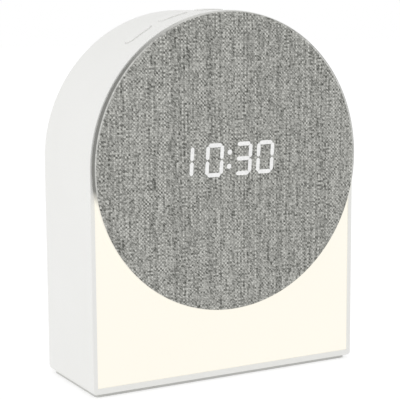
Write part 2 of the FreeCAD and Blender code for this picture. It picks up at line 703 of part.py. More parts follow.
def board_screw_places():
    """Centres of the main board's four screws."""
    x = "(main_board_width / 2 - stand_inset)"
    z = "(main_board_height / 2 - stand_inset)"
    return [(side + x, "(%s %s %s)" % (BOARD_Z, rise, z)) for side in ("-", "") for rise in ("-", "+")]


def make_rear_cover():
    """Flat plate in the back opening, with posts for the main board, slots and the socket's hole."""
    body = new_body("rear_cover")
    inset = "(cover_inset + seat_gap)"
    outline = arch_loop("(%s - %s)" % (HALF, inset), "(%s + %s)" % (CASE_FOOT, inset))
    solid(body, "Plate", [outline], COVER_FACE, "wall - layer_gap")
    depth = value("case_depth")
    round_edges(body, "cover_rounding", lambda edge: flat_at(edge, depth))
    stand_face = "(%s + layer_gap)" % BOARD_BACK
    stands = [round_loop(x, z, "stand_radius") for x, z in board_screw_places()]
    solid(body, "Stands", stands, stand_face, "main_board_stand")
    holes = [round_loop(x, z, "small_screw_radius + screw_gap") for x, z in board_screw_places()]
    cut(body, "StandHoles", holes, stand_face, "small_screw_length")
    cut(body, "SocketHole", [round_loop("0", SOCKET_Z, SOCKET_RADIUS + " + seat_gap")], COVER_FACE, "wall")
    holes = [round_loop(x, z, "small_screw_radius + screw_gap") for x, z in cover_screw_places()]
    cut(body, "ScrewHoles", holes, COVER_FACE, "wall")
    recess = "(small_head + layer_gap)"
    heads = [round_loop(x, z, "small_head_radius + seat_gap") for x, z in cover_screw_places()]
    cut(body, "HeadRecesses", heads, "(case_depth - %s)" % recess, recess)
    slot = rounded_loop("vent_length / 2", "vent_width / 2", "(vent_width / 2 - layer_gap)")
    slots = [
        shifted(slot, "(%s(vent_length + vent_pitch) / 2)" % side, "(vent_rise + %d * vent_pitch)" % row)
        for row in range(VENT_ROWS) for side in ("-", "")
    ]
    cuts(body, "Vent", slots, COVER_FACE, "wall")
    return body


# Lit panel and chassis

def make_light_diffuser():
    """Milky panel that fills the front, with a round hole for the disc's ring."""
    body = new_body("light_diffuser")
    outline = arch_loop("(%s - seat_gap)" % INSIDE, "(%s + seat_gap)" % INSIDE_FOOT)
    opening = round_loop("0", DISC_Z, RING_RADIUS + " + seat_gap")
    solid(body, "Panel", [outline, opening], "panel_recess", "panel_thickness")
    return body


def tray_loop(margin):
    """Cup-shaped outline round the disc's ring, inside the tray's outer face by a margin."""
    half = "(%s - tray_margin - (%s))" % (INSIDE, margin)
    foot = "(%s + tray_margin + (%s))" % (INSIDE_FOOT, margin)
    top = "(-tray_top - (%s))" % margin
    ring = "(%s + tray_margin + (%s))" % (RING_RADIUS, margin)
    reach = "sqrt(%s ^ 2 - (%s - %s) ^ 2)" % (ring, top, DISC_Z)
    return [
        ("-" + half, foot),
        (half, foot),
        (half, top),
        (reach, top, "0", DISC_Z, "back"),
        ("-" + reach, top),
        ("-" + half, top),
    ]


def peg_places(centre):
    """Pegs on a circle about the disc's centre, clear of the speaker and the display."""
    return [
        ("(%s * sin(%d))" % (PEG_CIRCLE, angle), "(%s + %s * cos(%d))" % (centre, PEG_CIRCLE, angle))
        for angle in PEG_ANGLES
    ]


def speaker_screw_places(centre):
    """Four screws through the speaker's flange."""
    radius = "(%s - flange_width / 2)" % SPEAKER_RADIUS
    return [
        ("(%s * sin(%d))" % (radius, angle), "(%s + %s * cos(%d))" % (centre, radius, angle))
        for angle in (45, 135, 225, 315)
    ]


def make_front_chassis():
    """Plate behind the lit panel: it carries the disc's ring, the display, the speaker and the tray."""
    body = new_body("front_chassis")
    outline = arch_loop("(%s - seat_gap)" % INSIDE, "(%s + seat_gap)" % INSIDE_FOOT)
    solid(body, "Plate", [outline], CHASSIS_FACE, "chassis_thickness")
    ring = [round_loop("0", DISC_Z, radius) for radius in (RING_RADIUS, RING_RADIUS + " - ring_wall")]
    solid(body, "Ring", ring, "(%s + layer_gap)" % GRILLE_BACK, "(%s - %s)" % (CHASSIS_FACE, GRILLE_BACK))
    cut(body, "Window", [tray_loop("tray_wall")], CHASSIS_FACE, "chassis_thickness")
    gap = " + screw_gap"
    holes = [round_loop("0", SPEAKER_Z, SPEAKER_OPENING)]
    holes += [round_loop("display_lead_x", DISPLAY_Z, "lead_radius + 2 * seat_gap")]
    holes += [round_loop(side + DISPLAY_PEG_X, DISPLAY_Z, "display_peg_radius" + gap) for side in ("-", "")]
    holes += [round_loop(x, z, "peg_radius" + gap) for x, z in peg_places(DISC_Z)]
    holes += [round_loop(x, z, "screw_radius" + gap) for x, z in case_posts()]
    holes += [round_loop(x, z, "small_screw_radius" + gap) for x, z in speaker_screw_places(SPEAKER_Z)]
    cut(body, "Holes", holes, CHASSIS_FACE, "chassis_thickness")
    heads = [round_loop(x, z, "screw_head_radius + seat_gap") for x, z in case_posts()]
    cut(body, "HeadRecesses", heads, CHASSIS_FACE, "screw_head + layer_gap")
    return body


def make_screws(label, places, face, kind, forward=False):
    """Cross-recessed screws in one node. Their heads start at a depth and face the front or the back."""
    head_radius, head, radius, length = SCREWS[kind]
    body = new_body(label)
    solid(body, "Heads", [round_loop(x, z, head_radius) for x, z in places], face, head)
    shank_face = "(%s - %s)" % (face, length) if forward else "(%s + %s)" % (face, head)
    solid(body, "Shanks", [round_loop(x, z, radius) for x, z in places], shank_face, length)
    recess_face = "(%s + %s - recess_depth)" % (face, head) if forward else face
    arm, half = "(%s * %s)" % (head_radius, RECESS_SHARE), "(recess_width / 2)"
    for wide, high in ((arm, half), (half, arm)):
        slots = [shifted(box_loop("-" + wide, "-" + high, wide, high), x, z) for x, z in places]
        cut(body, "Recess", slots, recess_face, "recess_depth")
    return body


def make_light_box():
    """White tray that spreads the lamps' light over the panel."""
    body = new_body("light_box")
    solid(body, "Block", [tray_loop("0")], TRAY_FACE, "tray_depth")
    cut(body, "Inside", [tray_loop("tray_wall")], TRAY_FACE, "tray_depth - tray_wall")
    hole = round_loop("lamp_lead_x", LAMP_LEAD_Z, "lead_radius + seat_gap")
    cut(body, "LeadHole", [hole], "(%s - tray_wall)" % TRAY_BACK, "tray_wall")
    return body


def make_light_board():
    """Board on the tray's floor."""
    body = new_body("light_board")
    solid(body, "Board", [tray_loop("tray_wall + seat_gap")], LAMP_BOARD_FACE, "board_thickness")
    return body


def lamp_places():
    """Rows of lamps over the cup-shaped board, clear of its edges."""
    edge = "(tray_margin + tray_wall + seat_gap + lamp_width)"
    columns = int(value("(%s - %s) / lamp_pitch" % (INSIDE, edge)))
    rows = int(value("(-tray_top - %s - %s - %s) / lamp_pitch" % (edge, INSIDE_FOOT, edge)))
    ring = value("%s + %s" % (RING_RADIUS, edge))
    places = []
    for row in range(rows + 1):
        z = "(%s + %s + %d * lamp_pitch)" % (INSIDE_FOOT, edge, row)
        for column in range(-columns, columns + 1):
            x = "(%d * lamp_pitch)" % column
            if math.hypot(value(x), value(z) - value(DISC_Z)) > ring:
                places.append((x, z))
    return places


def make_light_leds():
    """Lamp chips on their board."""
    chips = []
    for x, z in lamp_places():
        chip = document.addObject("Part::Box", "Chip")
        bind(chip, "Length", "lamp_width")
        bind(chip, "Width", "lamp_thickness")
        bind(chip, "Height", "lamp_height")
        bind(chip, "Placement.Base.x", "%s - lamp_width / 2" % x)
        bind(chip, "Placement.Base.y", "%s - layer_gap - lamp_thickness" % LAMP_BOARD_FACE)
        bind(chip, "Placement.Base.z", "%s - lamp_height / 2" % z)
        chips.append(chip)
    group = document.addObject("Part::Compound", "light_leds")
    group.Label = "light_leds"
    group.Links = chips
    bind(group, "Placement.Base.y", FRONT_Y)
    bind(group, "Placement.Base.z", ARCH_Z)
    document.recompute()
    pieces.append(group)


# Disc

def make_grille_frame():
    """Moulded disc with a display window and holes over the speaker. Its pegs pass through the chassis."""
    body = new_body("grille_frame", z="(%s + %s)" % (ARCH_Z, DISC_Z))
    solid(body, "Disc", [round_loop("0", "0", GRILLE_RADIUS)], GRILLE_FACE, "grille_thickness")
    face = value(GRILLE_FACE)
    round_edges(body, "grille_rounding", lambda edge: flat_at(edge, face))
    window = centred_loop("(display_width + 2 * seat_gap)", "(display_height + 2 * seat_gap)")
    cut(body, "Window", [window], GRILLE_FACE, "grille_thickness", z="display_rise")
    pegs = [round_loop(x, z, "peg_radius") for x, z in peg_places("0")]
    solid(body, "Pegs", pegs, GRILLE_BACK, "(%s - %s + peg_end)" % (CHASSIS_BACK, GRILLE_BACK))
    pitch = "((%s - perforation_margin - perforation_radius) / %d)" % (SPEAKER_OPENING, PERFORATION_RINGS - 1)
    for ring in range(PERFORATION_RINGS):
        hole = [round_loop("0", "(%d * %s)" % (ring, pitch), "perforation_radius")]
        sketch = face_sketch(body, "Perforations%d" % ring, hole, GRILLE_FACE, z="-" + SPEAKER_DROP)
        first = pocket(body, sketch, "grille_thickness")
        if ring:
            about(body, [first], (sketch, ["N_Axis"]), "360", 6 * ring)
    return body


def make_grille_fabric():
    """Cloth over the disc's face and edge, turned in behind it."""
    body = new_body("grille_fabric", z="(%s + %s)" % (ARCH_Z, DISC_Z))
    inside = "(%s - cloth_thickness)" % DISC_RADIUS
    front = "(-disc_projection)"
    inner_front = "(cloth_thickness - disc_projection)"
    inner_back = "(%s + layer_gap)" % GRILLE_BACK
    back = "(%s + cloth_thickness)" % inner_back
    inner_bend = "(grille_rounding + layer_gap)"
    bend = "(%s + cloth_thickness)" % inner_bend
    turn_x = "(%s - %s)" % (DISC_RADIUS, bend)
    turn_y = "(%s + %s)" % (front, bend)
    hem = "(%s - cloth_return)" % DISC_RADIUS
    profile = [
        ("0", front),
        (turn_x, front, turn_x, turn_y),
        (DISC_RADIUS, turn_y),
        (DISC_RADIUS, back),
        (hem, back),
        (hem, inner_back),
        (inside, inner_back),
        (inside, turn_y, turn_x, turn_y, "back"),
        (turn_x, inner_front),
        ("0", inner_front),
    ]
    spun(body, "Profile", [profile])
    return body


# Display

def bars():
    """The seven bars of a digit as (centre x, centre y, upright)."""
    high = "((digit_height - bar_width) / 4)"
    wide = "((digit_width - bar_width) / 2)"
    top = "((digit_height - bar_width) / 2)"
    level = [("0", z, False) for z in (top, "0", "-" + top)]
    upright = [(side + wide, rise + high, True) for side in ("", "-") for rise in ("", "-")]
    return level + upright


def bar_loop(upright):
    """Bar with pointed ends, as long as the space between two corners of the digit."""
    half = "(bar_width / 2)"
    span = "((digit_height - bar_width) / 4)" if upright else "((digit_width - bar_width) / 2)"
    tip = "(%s - bar_gap / 2)" % span
    neck = "(%s - bar_width / 2)" % tip
    corners = [
        (tip, "0"), (neck, half), ("-" + neck, half),
        ("-" + tip, "0"), ("-" + neck, "-" + half), (neck, "-" + half),
    ]
    return [("-(%s)" % z, x) for x, z in corners] if upright else corners


def slanted(loop):
    """The loop leant to the right, so that a place moves further the higher it is above the middle."""
    lean = "((%s) + (%s) * tan(digit_slant))"
    if loop[0] == "circle":
        return round_loop(lean % (loop[1], loop[2]), loop[2], loop[3])
    return [(lean % (x, z), z) for x, z in loop]


def display_loops():
    """Every bar and dot of the display. The first digit only ever shows a one."""
    loops = []
    for digit in ("digit_two", "digit_three", "digit_four"):
        loops += [shifted(bar_loop(upright), "(%s + %s)" % (digit, x), z) for x, z, upright in bars()]
    loops += [shifted(bar_loop(upright), "digit_one", z) for x, z, upright in bars()[3:5]]
    loops += [round_loop("digit_colon", side + "(colon_spread / 2)", "colon_radius") for side in ("-", "")]
    return [slanted(loop) for loop in loops]


def make_display_housing():
    """Black block whose cavities keep the bars' light apart. Its two pegs pass through the chassis."""
    body = new_body("display_housing", z="(%s + %s)" % (ARCH_Z, DISPLAY_Z))
    block = centred_loop("display_width", "display_height")
    back = "(%s - layer_gap)" % DISPLAY_BOARD_FACE
    solid(body, "Block", [block], GRILLE_FACE, "(%s - %s)" % (back, GRILLE_FACE))
    cuts(body, "Cavity", display_loops(), GRILLE_FACE, "bar_depth + layer_gap")
    pegs = [round_loop(side + DISPLAY_PEG_X, "0", "display_peg_radius") for side in ("-", "")]
    solid(body, "Pegs", pegs, back, "(%s - %s)" % (CHASSIS_BACK, back))
    return body


def make_display_segments():
    """Light guides of the bars and the colon."""
    body = new_body("display_segments", z="(%s + %s)" % (ARCH_Z, DISPLAY_Z))
    solids(body, "Guide", display_loops(), GRILLE_FACE, "bar_depth")
    return body


def make_display_board():
    """Board behind the display."""
    body = new_body("display_board", z="(%s + %s)" % (ARCH_Z, DISPLAY_Z))
    wide = "(display_width + 2 * display_board_margin)"
    high = "(display_height + 2 * display_board_margin)"
    solid(body, "Board", [centred_loop(wide, high)], DISPLAY_BOARD_FACE, "display_board_thickness")
    holes = [round_loop(side + DISPLAY_PEG_X, "0", "display_peg_radius + screw_gap") for side in ("-", "")]
    cut(body, "PegHoles", holes, DISPLAY_BOARD_FACE, "display_board_thickness")
    return body


# Speaker, drawn as (radius, depth behind the flange's face)

def speaker_body(label, profile=None):
    """A piece of the speaker, turned from its profile."""
    y = "(%s + %s)" % (FRONT_Y, SPEAKER_FACE)
    body = new_body(label, y=y, z="(%s + %s)" % (ARCH_Z, SPEAKER_Z))
    if profile:
        spun(body, "Profile", [profile])
    return body


def make_speaker_basket():
    """Pressed basket: flange, four windows and a floor that carries the magnet."""
    floor_inside = "(%s + 2 * coil_gap)" % COIL_OUTSIDE
    floor_face = "(basket_depth - flange_thickness)"
    outside = "(basket_floor_radius + flange_thickness)"
    rim = "(%s + flange_thickness)" % FLANGE_INSIDE
    body = speaker_body("speaker_basket", [
        (SPEAKER_RADIUS, "0"),
        (SPEAKER_RADIUS, "flange_thickness"),
        (rim, "flange_thickness"),
        (outside, floor_face),
        (outside, "basket_depth"),
        (floor_inside, "basket_depth"),
        (floor_inside, floor_face),
        ("basket_floor_radius", floor_face),
        (FLANGE_INSIDE, "flange_thickness"),
        (FLANGE_INSIDE, "0"),
    ])
    holes = [round_loop(x, z, "small_screw_radius + screw_gap") for x, z in speaker_screw_places("0")]
    cut(body, "ScrewHoles", holes, "0", "flange_thickness")
    window = band_loop("basket_floor_radius", rim, "basket_window_angle")
    window_length = "(spider_depth - 3 * flange_thickness)"
    first = cut(body, "Window", [window], "(2 * flange_thickness)", window_length)
    about(body, [first], origin_axis(body, "Y_Axis"), "360", 4)
    return body


def make_speaker_gasket():
    """Foam ring between the flange and the chassis."""
    face = "(-gasket_thickness - layer_gap)"
    ring = box_loop("(%s + seat_gap)" % SPEAKER_OPENING, face, SPEAKER_RADIUS, "(-layer_gap)")
    body = speaker_body("speaker_gasket", ring)
    holes = [round_loop(x, z, "small_screw_radius + screw_gap") for x, z in speaker_screw_places("0")]
    cut(body, "ScrewHoles", holes, face, "gasket_thickness")
    return body


def make_speaker_surround():
    """Half roll of rubber with a lip on the cone and a lip on the flange."""
    middle = "(cone_radius + roll_radius)"
    seat = "(-layer_gap)"
    lip = "(-layer_gap - roll_thickness)"
    inner_roll = "(roll_radius - roll_thickness)"
    reach = "sqrt(roll_radius ^ 2 - roll_thickness ^ 2)"
    outer_lip = "(%s + roll_lip)" % FLANGE_INSIDE
    inner_lip = "(cone_radius - roll_lip)"
    return speaker_body("speaker_surround", [
        (inner_lip, seat),
        (inner_lip, lip),
        ("(%s - %s)" % (middle, reach), lip, middle, seat),
        ("(%s + %s)" % (middle, reach), lip),
        (outer_lip, lip),
        (outer_lip, seat),
        ("(%s + %s)" % (middle, inner_roll), seat, middle, seat, "back"),
        ("(%s - %s)" % (middle, inner_roll), seat),
    ])


def make_speaker_cone():
    """Paper cone from the surround to the voice coil."""
    neck = "(%s + layer_gap)" % COIL_OUTSIDE
    return speaker_body("speaker_cone", [
        ("cone_radius", "0"),
        ("cone_radius", "cone_thickness"),
        (neck, "(cone_depth + cone_thickness)"),
        (neck, "cone_depth"),
    ])


def make_speaker_dust_cap():
    """Domed cap on the cone."""
    slope = "(cone_depth / (cone_radius - %s - layer_gap))" % COIL_OUTSIDE
    seat = "(%s * (cone_radius - cap_radius) - layer_gap)" % slope
    ball = "((cap_radius ^ 2 + cap_rise ^ 2) / (2 * cap_rise))"
    crown = "(%s - cap_rise)" % seat
    middle = "(%s + %s)" % (crown, ball)
    inner_edge = "sqrt((%s - cone_thickness) ^ 2 - (%s - cap_rise) ^ 2)" % (ball, ball)
    return speaker_body("speaker_dust_cap", [
        ("0", crown, "0", middle),
        ("cap_radius", seat),
        (inner_edge, seat, "0", middle, "back"),
        ("0", "(%s + cone_thickness)" % crown),
    ])


def make_speaker_voice_coil():
    """Coil on its former, in the magnet's gap."""
    return speaker_body("speaker_voice_coil", box_loop(
        "coil_radius", "cone_depth", COIL_OUTSIDE, "(cone_depth + coil_length)"))


def make_speaker_spider():
    """Cloth ring that centres the voice coil in the basket."""
    fall = "((%s - basket_floor_radius) / (basket_depth - 2 * flange_thickness))" % FLANGE_INSIDE
    wall = "(%s - %s * (spider_depth + cone_thickness - flange_thickness))" % (FLANGE_INSIDE, fall)
    back = "(spider_depth + cone_thickness)"
    return speaker_body("speaker_spider", box_loop(
        "(%s + layer_gap)" % COIL_OUTSIDE, "spider_depth", "(%s - layer_gap)" % wall, back))


def make_speaker_magnet():
    """Front plate, magnet and yoke with its centre pole, stacked behind the basket."""
    gap = "(%s + coil_gap)" % COIL_OUTSIDE
    plate_face = "(basket_depth + layer_gap)"
    plate_back = "(%s + plate_thickness)" % plate_face
    magnet_face = "(%s + layer_gap)" % plate_back
    magnet_back = "(%s + magnet_thickness)" % magnet_face
    yoke_face = "(%s + layer_gap)" % magnet_back
    yoke_back = "(%s + yoke_thickness)" % yoke_face
    speaker_body("speaker_top_plate", box_loop(gap, plate_face, "plate_radius", plate_back))
    ring_inside = "(%s + plate_thickness)" % gap
    speaker_body("speaker_magnet", box_loop(ring_inside, magnet_face, "magnet_radius", magnet_back))
    pole = "(coil_radius - coil_gap)"
    speaker_body("speaker_yoke", [
        ("0", "basket_depth"),
        (pole, "basket_depth"),
        (pole, yoke_face),
        ("plate_radius", yoke_face),
        ("plate_radius", yoke_back),
        ("0", yoke_back),
    ])


def make_speaker_terminals():
    """Tab beside the basket that takes the leads."""
    body = speaker_body("speaker_terminals")
    top = "(%s + terminal_height)" % TERMINAL_FOOT
    tab = box_loop("(-terminal_width / 2)", TERMINAL_FOOT, "(terminal_width / 2)", top)
    solid(body, "Tab", [tab], TERMINAL_FACE, "terminal_thickness")
    return body


def make_speaker_chamber():
    """Closed cup that seals the back of the speaker."""
    body = new_body("speaker_chamber")
    solid(body, "Cup", [round_loop("0", SPEAKER_Z, CHAMBER_RADIUS)], CHAMBER_FACE, "chamber_depth")
    inside = [round_loop("0", SPEAKER_Z, CHAMBER_RADIUS + " - chamber_wall")]
    cut(body, "Inside", inside, CHAMBER_FACE, "chamber_depth - chamber_wall")
    hole = [round_loop("0", SPEAKER_LEAD_Z, "lead_radius + screw_gap")]
    cut(body, "LeadHole", hole, "(%s - chamber_wall)" % CHAMBER_BACK, "chamber_wall")
    return body


# Main board

def make_main_board():
    """Board on the back cover's posts."""
    body = new_body("main_board")
    outline = shifted(centred_loop("main_board_width", "main_board_height"), "0", BOARD_Z)
    solid(body, "Board", [outline], BOARD_FACE, "board_thickness")
    holes = [round_loop(x, z, "small_screw_radius + screw_gap") for x, z in board_screw_places()]
    cut(body, "ScrewHoles", holes, BOARD_FACE, "board_thickness")
    return body


def on_board(label, loops, height):
    """Parts that stand on the main board's front side."""
    body = new_body(label, z="(%s + %s)" % (ARCH_Z, BOARD_Z))
    solid(body, "Parts", loops, "(%s - layer_gap - %s)" % (BOARD_FACE, height), height)
    return body


def make_board_parts():
    """Chips, capacitors, radio can, cell and connectors."""
    chips = [
        shifted(centred_loop("processor_width", "processor_width"), "processor_x", "processor_z"),
        shifted(centred_loop("amplifier_width", "amplifier_width"), "amplifier_x", "amplifier_z"),
    ]
    on_board("board_chips", chips, "chip_thickness")
    cans = [
        round_loop("(capacitor_x + %d * capacitor_pitch)" % place, "capacitor_z", "capacitor_radius")
        for place in range(2)
    ]
    on_board("board_capacitors", cans, "capacitor_height")
    can = shifted(centred_loop("shield_width", "shield_height"), SHIELD_X, "shield_z")
    on_board("radio_shield", [can], "shield_thickness")
    well = round_loop(CELL_X, "cell_z", "(cell_radius + seat_gap)")
    holder = on_board("cell_holder", [round_loop(CELL_X, "cell_z", HOLDER_RADIUS)], "holder_height")
    holder_face = "(%s - layer_gap - holder_height)" % BOARD_FACE
    cut(holder, "Well", [well], holder_face, "cell_thickness")
    cell = new_body("backup_cell", z="(%s + %s)" % (ARCH_Z, BOARD_Z))
    cell_face = "(%s - layer_gap)" % holder_face
    solid(cell, "Cell", [round_loop(CELL_X, "cell_z", "cell_radius")], cell_face, "cell_thickness")
    plug = centred_loop("plug_width", "plug_height")
    places = (("-plug_x", PLUG_Z), ("plug_x", PLUG_Z), ("lamp_plug_x", LAMP_PLUG_Z), ("0", SPEAKER_LEAD_Z))
    plugs = new_body("board_connectors")
    solid(plugs, "Plugs", [shifted(plug, x, z) for x, z in places], PLUG_FACE, "plug_depth")


def make_dc_jack():
    """Power socket on the main board. Its nose ends flush with the back cover."""
    body = new_body("dc_jack")
    face = "(%s + layer_gap)" % BOARD_BACK
    block = shifted(centred_loop("socket_body", "socket_body"), "0", SOCKET_Z)
    solid(body, "Block", [block], face, "(%s - %s - layer_gap)" % (COVER_FACE, face))
    nose_face = "(%s - layer_gap)" % COVER_FACE
    nose = round_loop("0", SOCKET_Z, SOCKET_RADIUS)
    solid(body, "Nose", [nose], nose_face, "(case_depth - %s)" % nose_face)
    bore = round_loop("0", SOCKET_Z, "socket_bore")
    cut(body, "Bore", [bore], "(case_depth - socket_depth)", "socket_depth")
    pin = new_body("dc_jack_pin")
    pin_face = "(case_depth - socket_depth + layer_gap)"
    pin_length = "(socket_depth - layer_gap - socket_pin_setback)"
    solid(pin, "Pin", [round_loop("0", SOCKET_Z, "socket_pin_radius")], pin_face, pin_length)


# Buttons, drawn at the arch's top

def make_button_bracket():
    """Arched strip under the buttons, screwed to the case's bosses."""
    body = new_body("button_bracket")
    strip = band_loop("(%s - bracket_thickness)" % BRACKET_RADIUS, BRACKET_RADIUS, "bracket_angle")
    solid(body, "Strip", [strip], "(button_setback - bracket_width / 2)", "bracket_width")
    holes = [round_loop("0", side, "small_screw_radius + screw_gap") for side in BOSS_SIDES]
    hole = radial_sketch(body, "Hole", holes, BOSS_FOOT, "-bracket_boss_angle", "button_setback")
    first = pocket(body, hole, "bracket_thickness + 2 * wall")
    about(body, [first], origin_axis(body, "Y_Axis"), "2 * bracket_boss_angle", 2)
    return body


def make_bracket_screws():
    """Screws from below the bracket into the case's bosses."""
    body = new_body("bracket_screws")
    inside = "(%s - bracket_thickness)" % BRACKET_RADIUS
    seat = "(sqrt(%s ^ 2 - small_head_radius ^ 2) - layer_gap)" % inside
    head_radius, head, radius, length = SCREWS["small"]
    features = []
    parts = (("Heads", head_radius, head, True), ("Shanks", radius, length, False))
    for name, size, height, inwards in parts:
        loops = [round_loop("0", side, size) for side in BOSS_SIDES]
        sketch = radial_sketch(body, name, loops, seat, "-bracket_boss_angle", "button_setback")
        features.append(pad(body, sketch, height, inwards))
    about(body, features, origin_axis(body, "Y_Axis"), "2 * bracket_boss_angle", 2)
    return body


def make_switch_flex():
    """Flexible board that lies on the bracket."""
    body = new_body("switch_flex")
    strip = band_loop(FLEX_FOOT, "(%s + flex_thickness)" % FLEX_FOOT, "flex_angle")
    solid(body, "Strip", [strip], "(button_setback - flex_width / 2)", "flex_width")
    return body


def make_switch_bodies():
    """Push switches on the flexible board, one under each button."""
    body = new_body("switch_bodies")
    square = [centred_loop("switch_width", "switch_width")]
    sketch = radial_sketch(body, "Block", square, SWITCH_FOOT, FIRST_BUTTON, "button_setback")
    block = pad(body, sketch, "switch_height")
    bore = [round_loop("0", "0", "(stem_radius + stem_gap)")]
    sketch = radial_sketch(body, "Bore", bore, SWITCH_TOP, FIRST_BUTTON, "button_setback")
    hole = pocket(body, sketch, "stem_depth + button_travel + seat_gap")
    about(body, [block, hole], origin_axis(body, "Y_Axis"), BUTTON_SPREAD, len(BUTTONS))
    return body


def make_button(name, angle):
    """Pill-shaped cap with a flange under the case's wall and a leg on its switch."""
    body = turned_body(name + "_button", angle)
    half_length, half_width = "(button_length / 2)", "(button_width / 2)"
    face = rounded_loop(half_length, half_width, "(%s - layer_gap)" % half_width)
    sketch = plan_sketch(body, "Face", [face], FLANGE_FOOT, y="button_setback")
    pad(body, sketch, "(%s + overcut - %s)" % (BUTTON_TOP, FLANGE_FOOT))
    above = band_loop(BUTTON_TOP, "(%s + button_length)" % BUTTON_TOP, "button_pitch_angle")
    cut(body, "Crown", [above], "(button_setback - button_width)", "(2 * button_width)")
    low = value("sqrt(%s ^ 2 - (%s) ^ 2)" % (BUTTON_TOP, half_length)) - NEAR
    round_edges(body, "button_edge", lambda edge: edge.BoundBox.ZMin > low)
    flange = rounded_loop("(%s + flange_margin)" % half_length, "(%s + flange_margin)" % half_width,
                          "(%s + flange_margin - layer_gap)" % half_width)
    pad(body, plan_sketch(body, "Flange", [flange], FLANGE_FOOT, y="button_setback"), "button_flange")
    leg_foot = "(%s + layer_gap)" % STEM_TOP
    leg = plan_sketch(body, "Leg", [round_loop("0", "0", "leg_radius")], leg_foot, y="button_setback")
    pad(body, leg, "(%s - %s)" % (FLANGE_FOOT, leg_foot))
    stem = turned_body(name + "_switch_stem", angle)
    stem_foot = "(%s - stem_depth)" % SWITCH_TOP
    sketch = plan_sketch(stem, "Stem", [round_loop("0", "0", "stem_radius")], stem_foot, y="button_setback")
    pad(stem, sketch, "stem_depth + stem_height")


# Leads

def make_lead(label, route):
    """Round lead along straight runs joined by tangent arcs, held at both ends."""
    points = [Vector(value(x), value(y), value(z)) for x, y, z in route]
    radius = value("lead_radius")
    edges = []
    start = points[0]
    for before, corner, after in zip(points, points[1:], points[2:]):
        into, out = (corner - before), (after - corner)
        run = min(into.Length, out.Length)
        into.normalize()
        out.normalize()
        half_turn = into.getAngle(out) / 2
        bend = min(value("lead_bend"), TIGHTEST_SHARE * run / math.tan(half_turn))
        reach = bend * math.tan(half_turn)
        first, last = corner - into * reach, corner + out * reach
        toward = (out - into).normalize()
        middle = corner + toward * (bend / math.cos(half_turn) - bend)
        edges += [Part.LineSegment(start, first).toShape(), Part.Arc(first, middle, last).toShape()]
        start = last
    edges.append(Part.LineSegment(start, points[-1]).toShape())
    spine = Part.Wire(edges)
    circle = Part.Wire(Part.Circle(points[0], points[1] - points[0], radius).toShape())
    piece = document.addObject("Part::Feature", label)
    piece.Label = label
    piece.Shape = spine.makePipeShell([circle], True, False)
    piece.Placement.Base = Vector(0, value(FRONT_Y), value(ARCH_Z))
    expected = math.pi * radius ** 2 * spine.Length
    if abs(piece.Shape.Volume - expected) > 0.01 * expected:
        raise RuntimeError("%s: volume %.1f, expected %.1f" % (label, piece.Shape.Volume, expected))
    pieces.append(piece)


def make_leads():
    """Leads from the speaker, the lamps, the display and the buttons to the main board."""
    end = "(%s - layer_gap)" % PLUG_FACE
    turn = "(%s - lead_end)" % end
    tab_back = "(%s + %s + terminal_thickness + layer_gap)" % (SPEAKER_FACE, TERMINAL_FACE)
    make_lead("speaker_lead", [("0", tab_back, SPEAKER_LEAD_Z), ("0", end, SPEAKER_LEAD_Z)])
    lamps_back = "(%s + layer_gap)" % LAMP_BOARD_BACK
    make_lead("light_lead", [
        ("lamp_lead_x", lamps_back, LAMP_LEAD_Z),
        ("lamp_lead_x", "((%s + %s) / 2)" % (lamps_back, turn), LAMP_LEAD_Z),
        ("lamp_plug_x", turn, LAMP_PLUG_Z),
        ("lamp_plug_x", end, LAMP_PLUG_Z),
    ])
    display_back = "(%s - layer_gap)" % CHASSIS_FACE
    make_lead("display_lead", [
        ("display_lead_x", display_back, DISPLAY_Z),
        ("display_lead_x", "((%s + %s) / 2)" % (display_back, turn), DISPLAY_Z),
        ("plug_x", turn, PLUG_Z),
        ("plug_x", end, PLUG_Z),
    ])
    x, z = polar("(%s + lead_radius)" % FLEX_FOOT, "-button_lead_angle")
    flex_back = "(button_setback + flex_width / 2 + layer_gap)"
    bracket_back = "(button_setback + bracket_width / 2 + lead_end)"
    make_lead("button_lead", [
        (x, flex_back, z),
        (x, bracket_back, z),
        ("(-plug_x)", turn, PLUG_Z),
        ("(-plug_x)", end, PLUG_Z),
    ])


def make_all():
    """Every piece of the clock."""
    make_housing()
    make_base_pad()
    make_rear_cover()
    turned_face = "(case_depth - small_head)"
    make_screws("rear_cover_screws", cover_screw_places(), turned_face, "small", forward=True)
    make_light_diffuser()
    make_front_chassis()
    make_screws("chassis_screws", case_posts(), "(%s + layer_gap)" % CHASSIS_FACE, "large")
    make_light_box()
    make_light_board()
    make_light_leds()
    make_grille_frame()
    make_grille_fabric()
    make_display_housing()
    make_display_segments()
    make_display_board()
    make_speaker_basket()
    make_speaker_gasket()
    make_speaker_surround()
    make_speaker_cone()
    make_speaker_dust_cap()
    make_speaker_voice_coil()
    make_speaker_spider()
    make_speaker_magnet()
    make_speaker_terminals()
    flange_back = "(%s + flange_thickness + layer_gap)" % SPEAKER_FACE
    make_screws("speaker_screws", speaker_screw_places(SPEAKER_Z), flange_back, "small", forward=True)
    make_speaker_chamber()
    make_main_board()
    board_head = "(%s - layer_gap - small_head)" % BOARD_FACE
    make_screws("main_board_screws", board_screw_places(), board_head, "small")
    make_board_parts()
    make_dc_jack()
    make_button_bracket()
    make_bracket_screws()
    make_switch_flex()
    make_switch_bodies()
    for place, name in enumerate(BUTTONS):
        make_button(name, "(%d * button_pitch_angle)" % (place - len(BUTTONS) // 2))
    make_leads()


def check_all():
    """Stops on any failed feature or broken solid."""
    document.recompute()
    for item in document.Objects:
        if "Invalid" in item.State or "Error" in item.State:
            raise RuntimeError("%s failed: %s" % (item.Label, item.getStatusString()))
    for piece in pieces:
        if piece.Shape.isNull() or not piece.Shape.isValid() or not piece.Shape.Solids:
            raise RuntimeError("%s has no valid solid" % piece.Label)


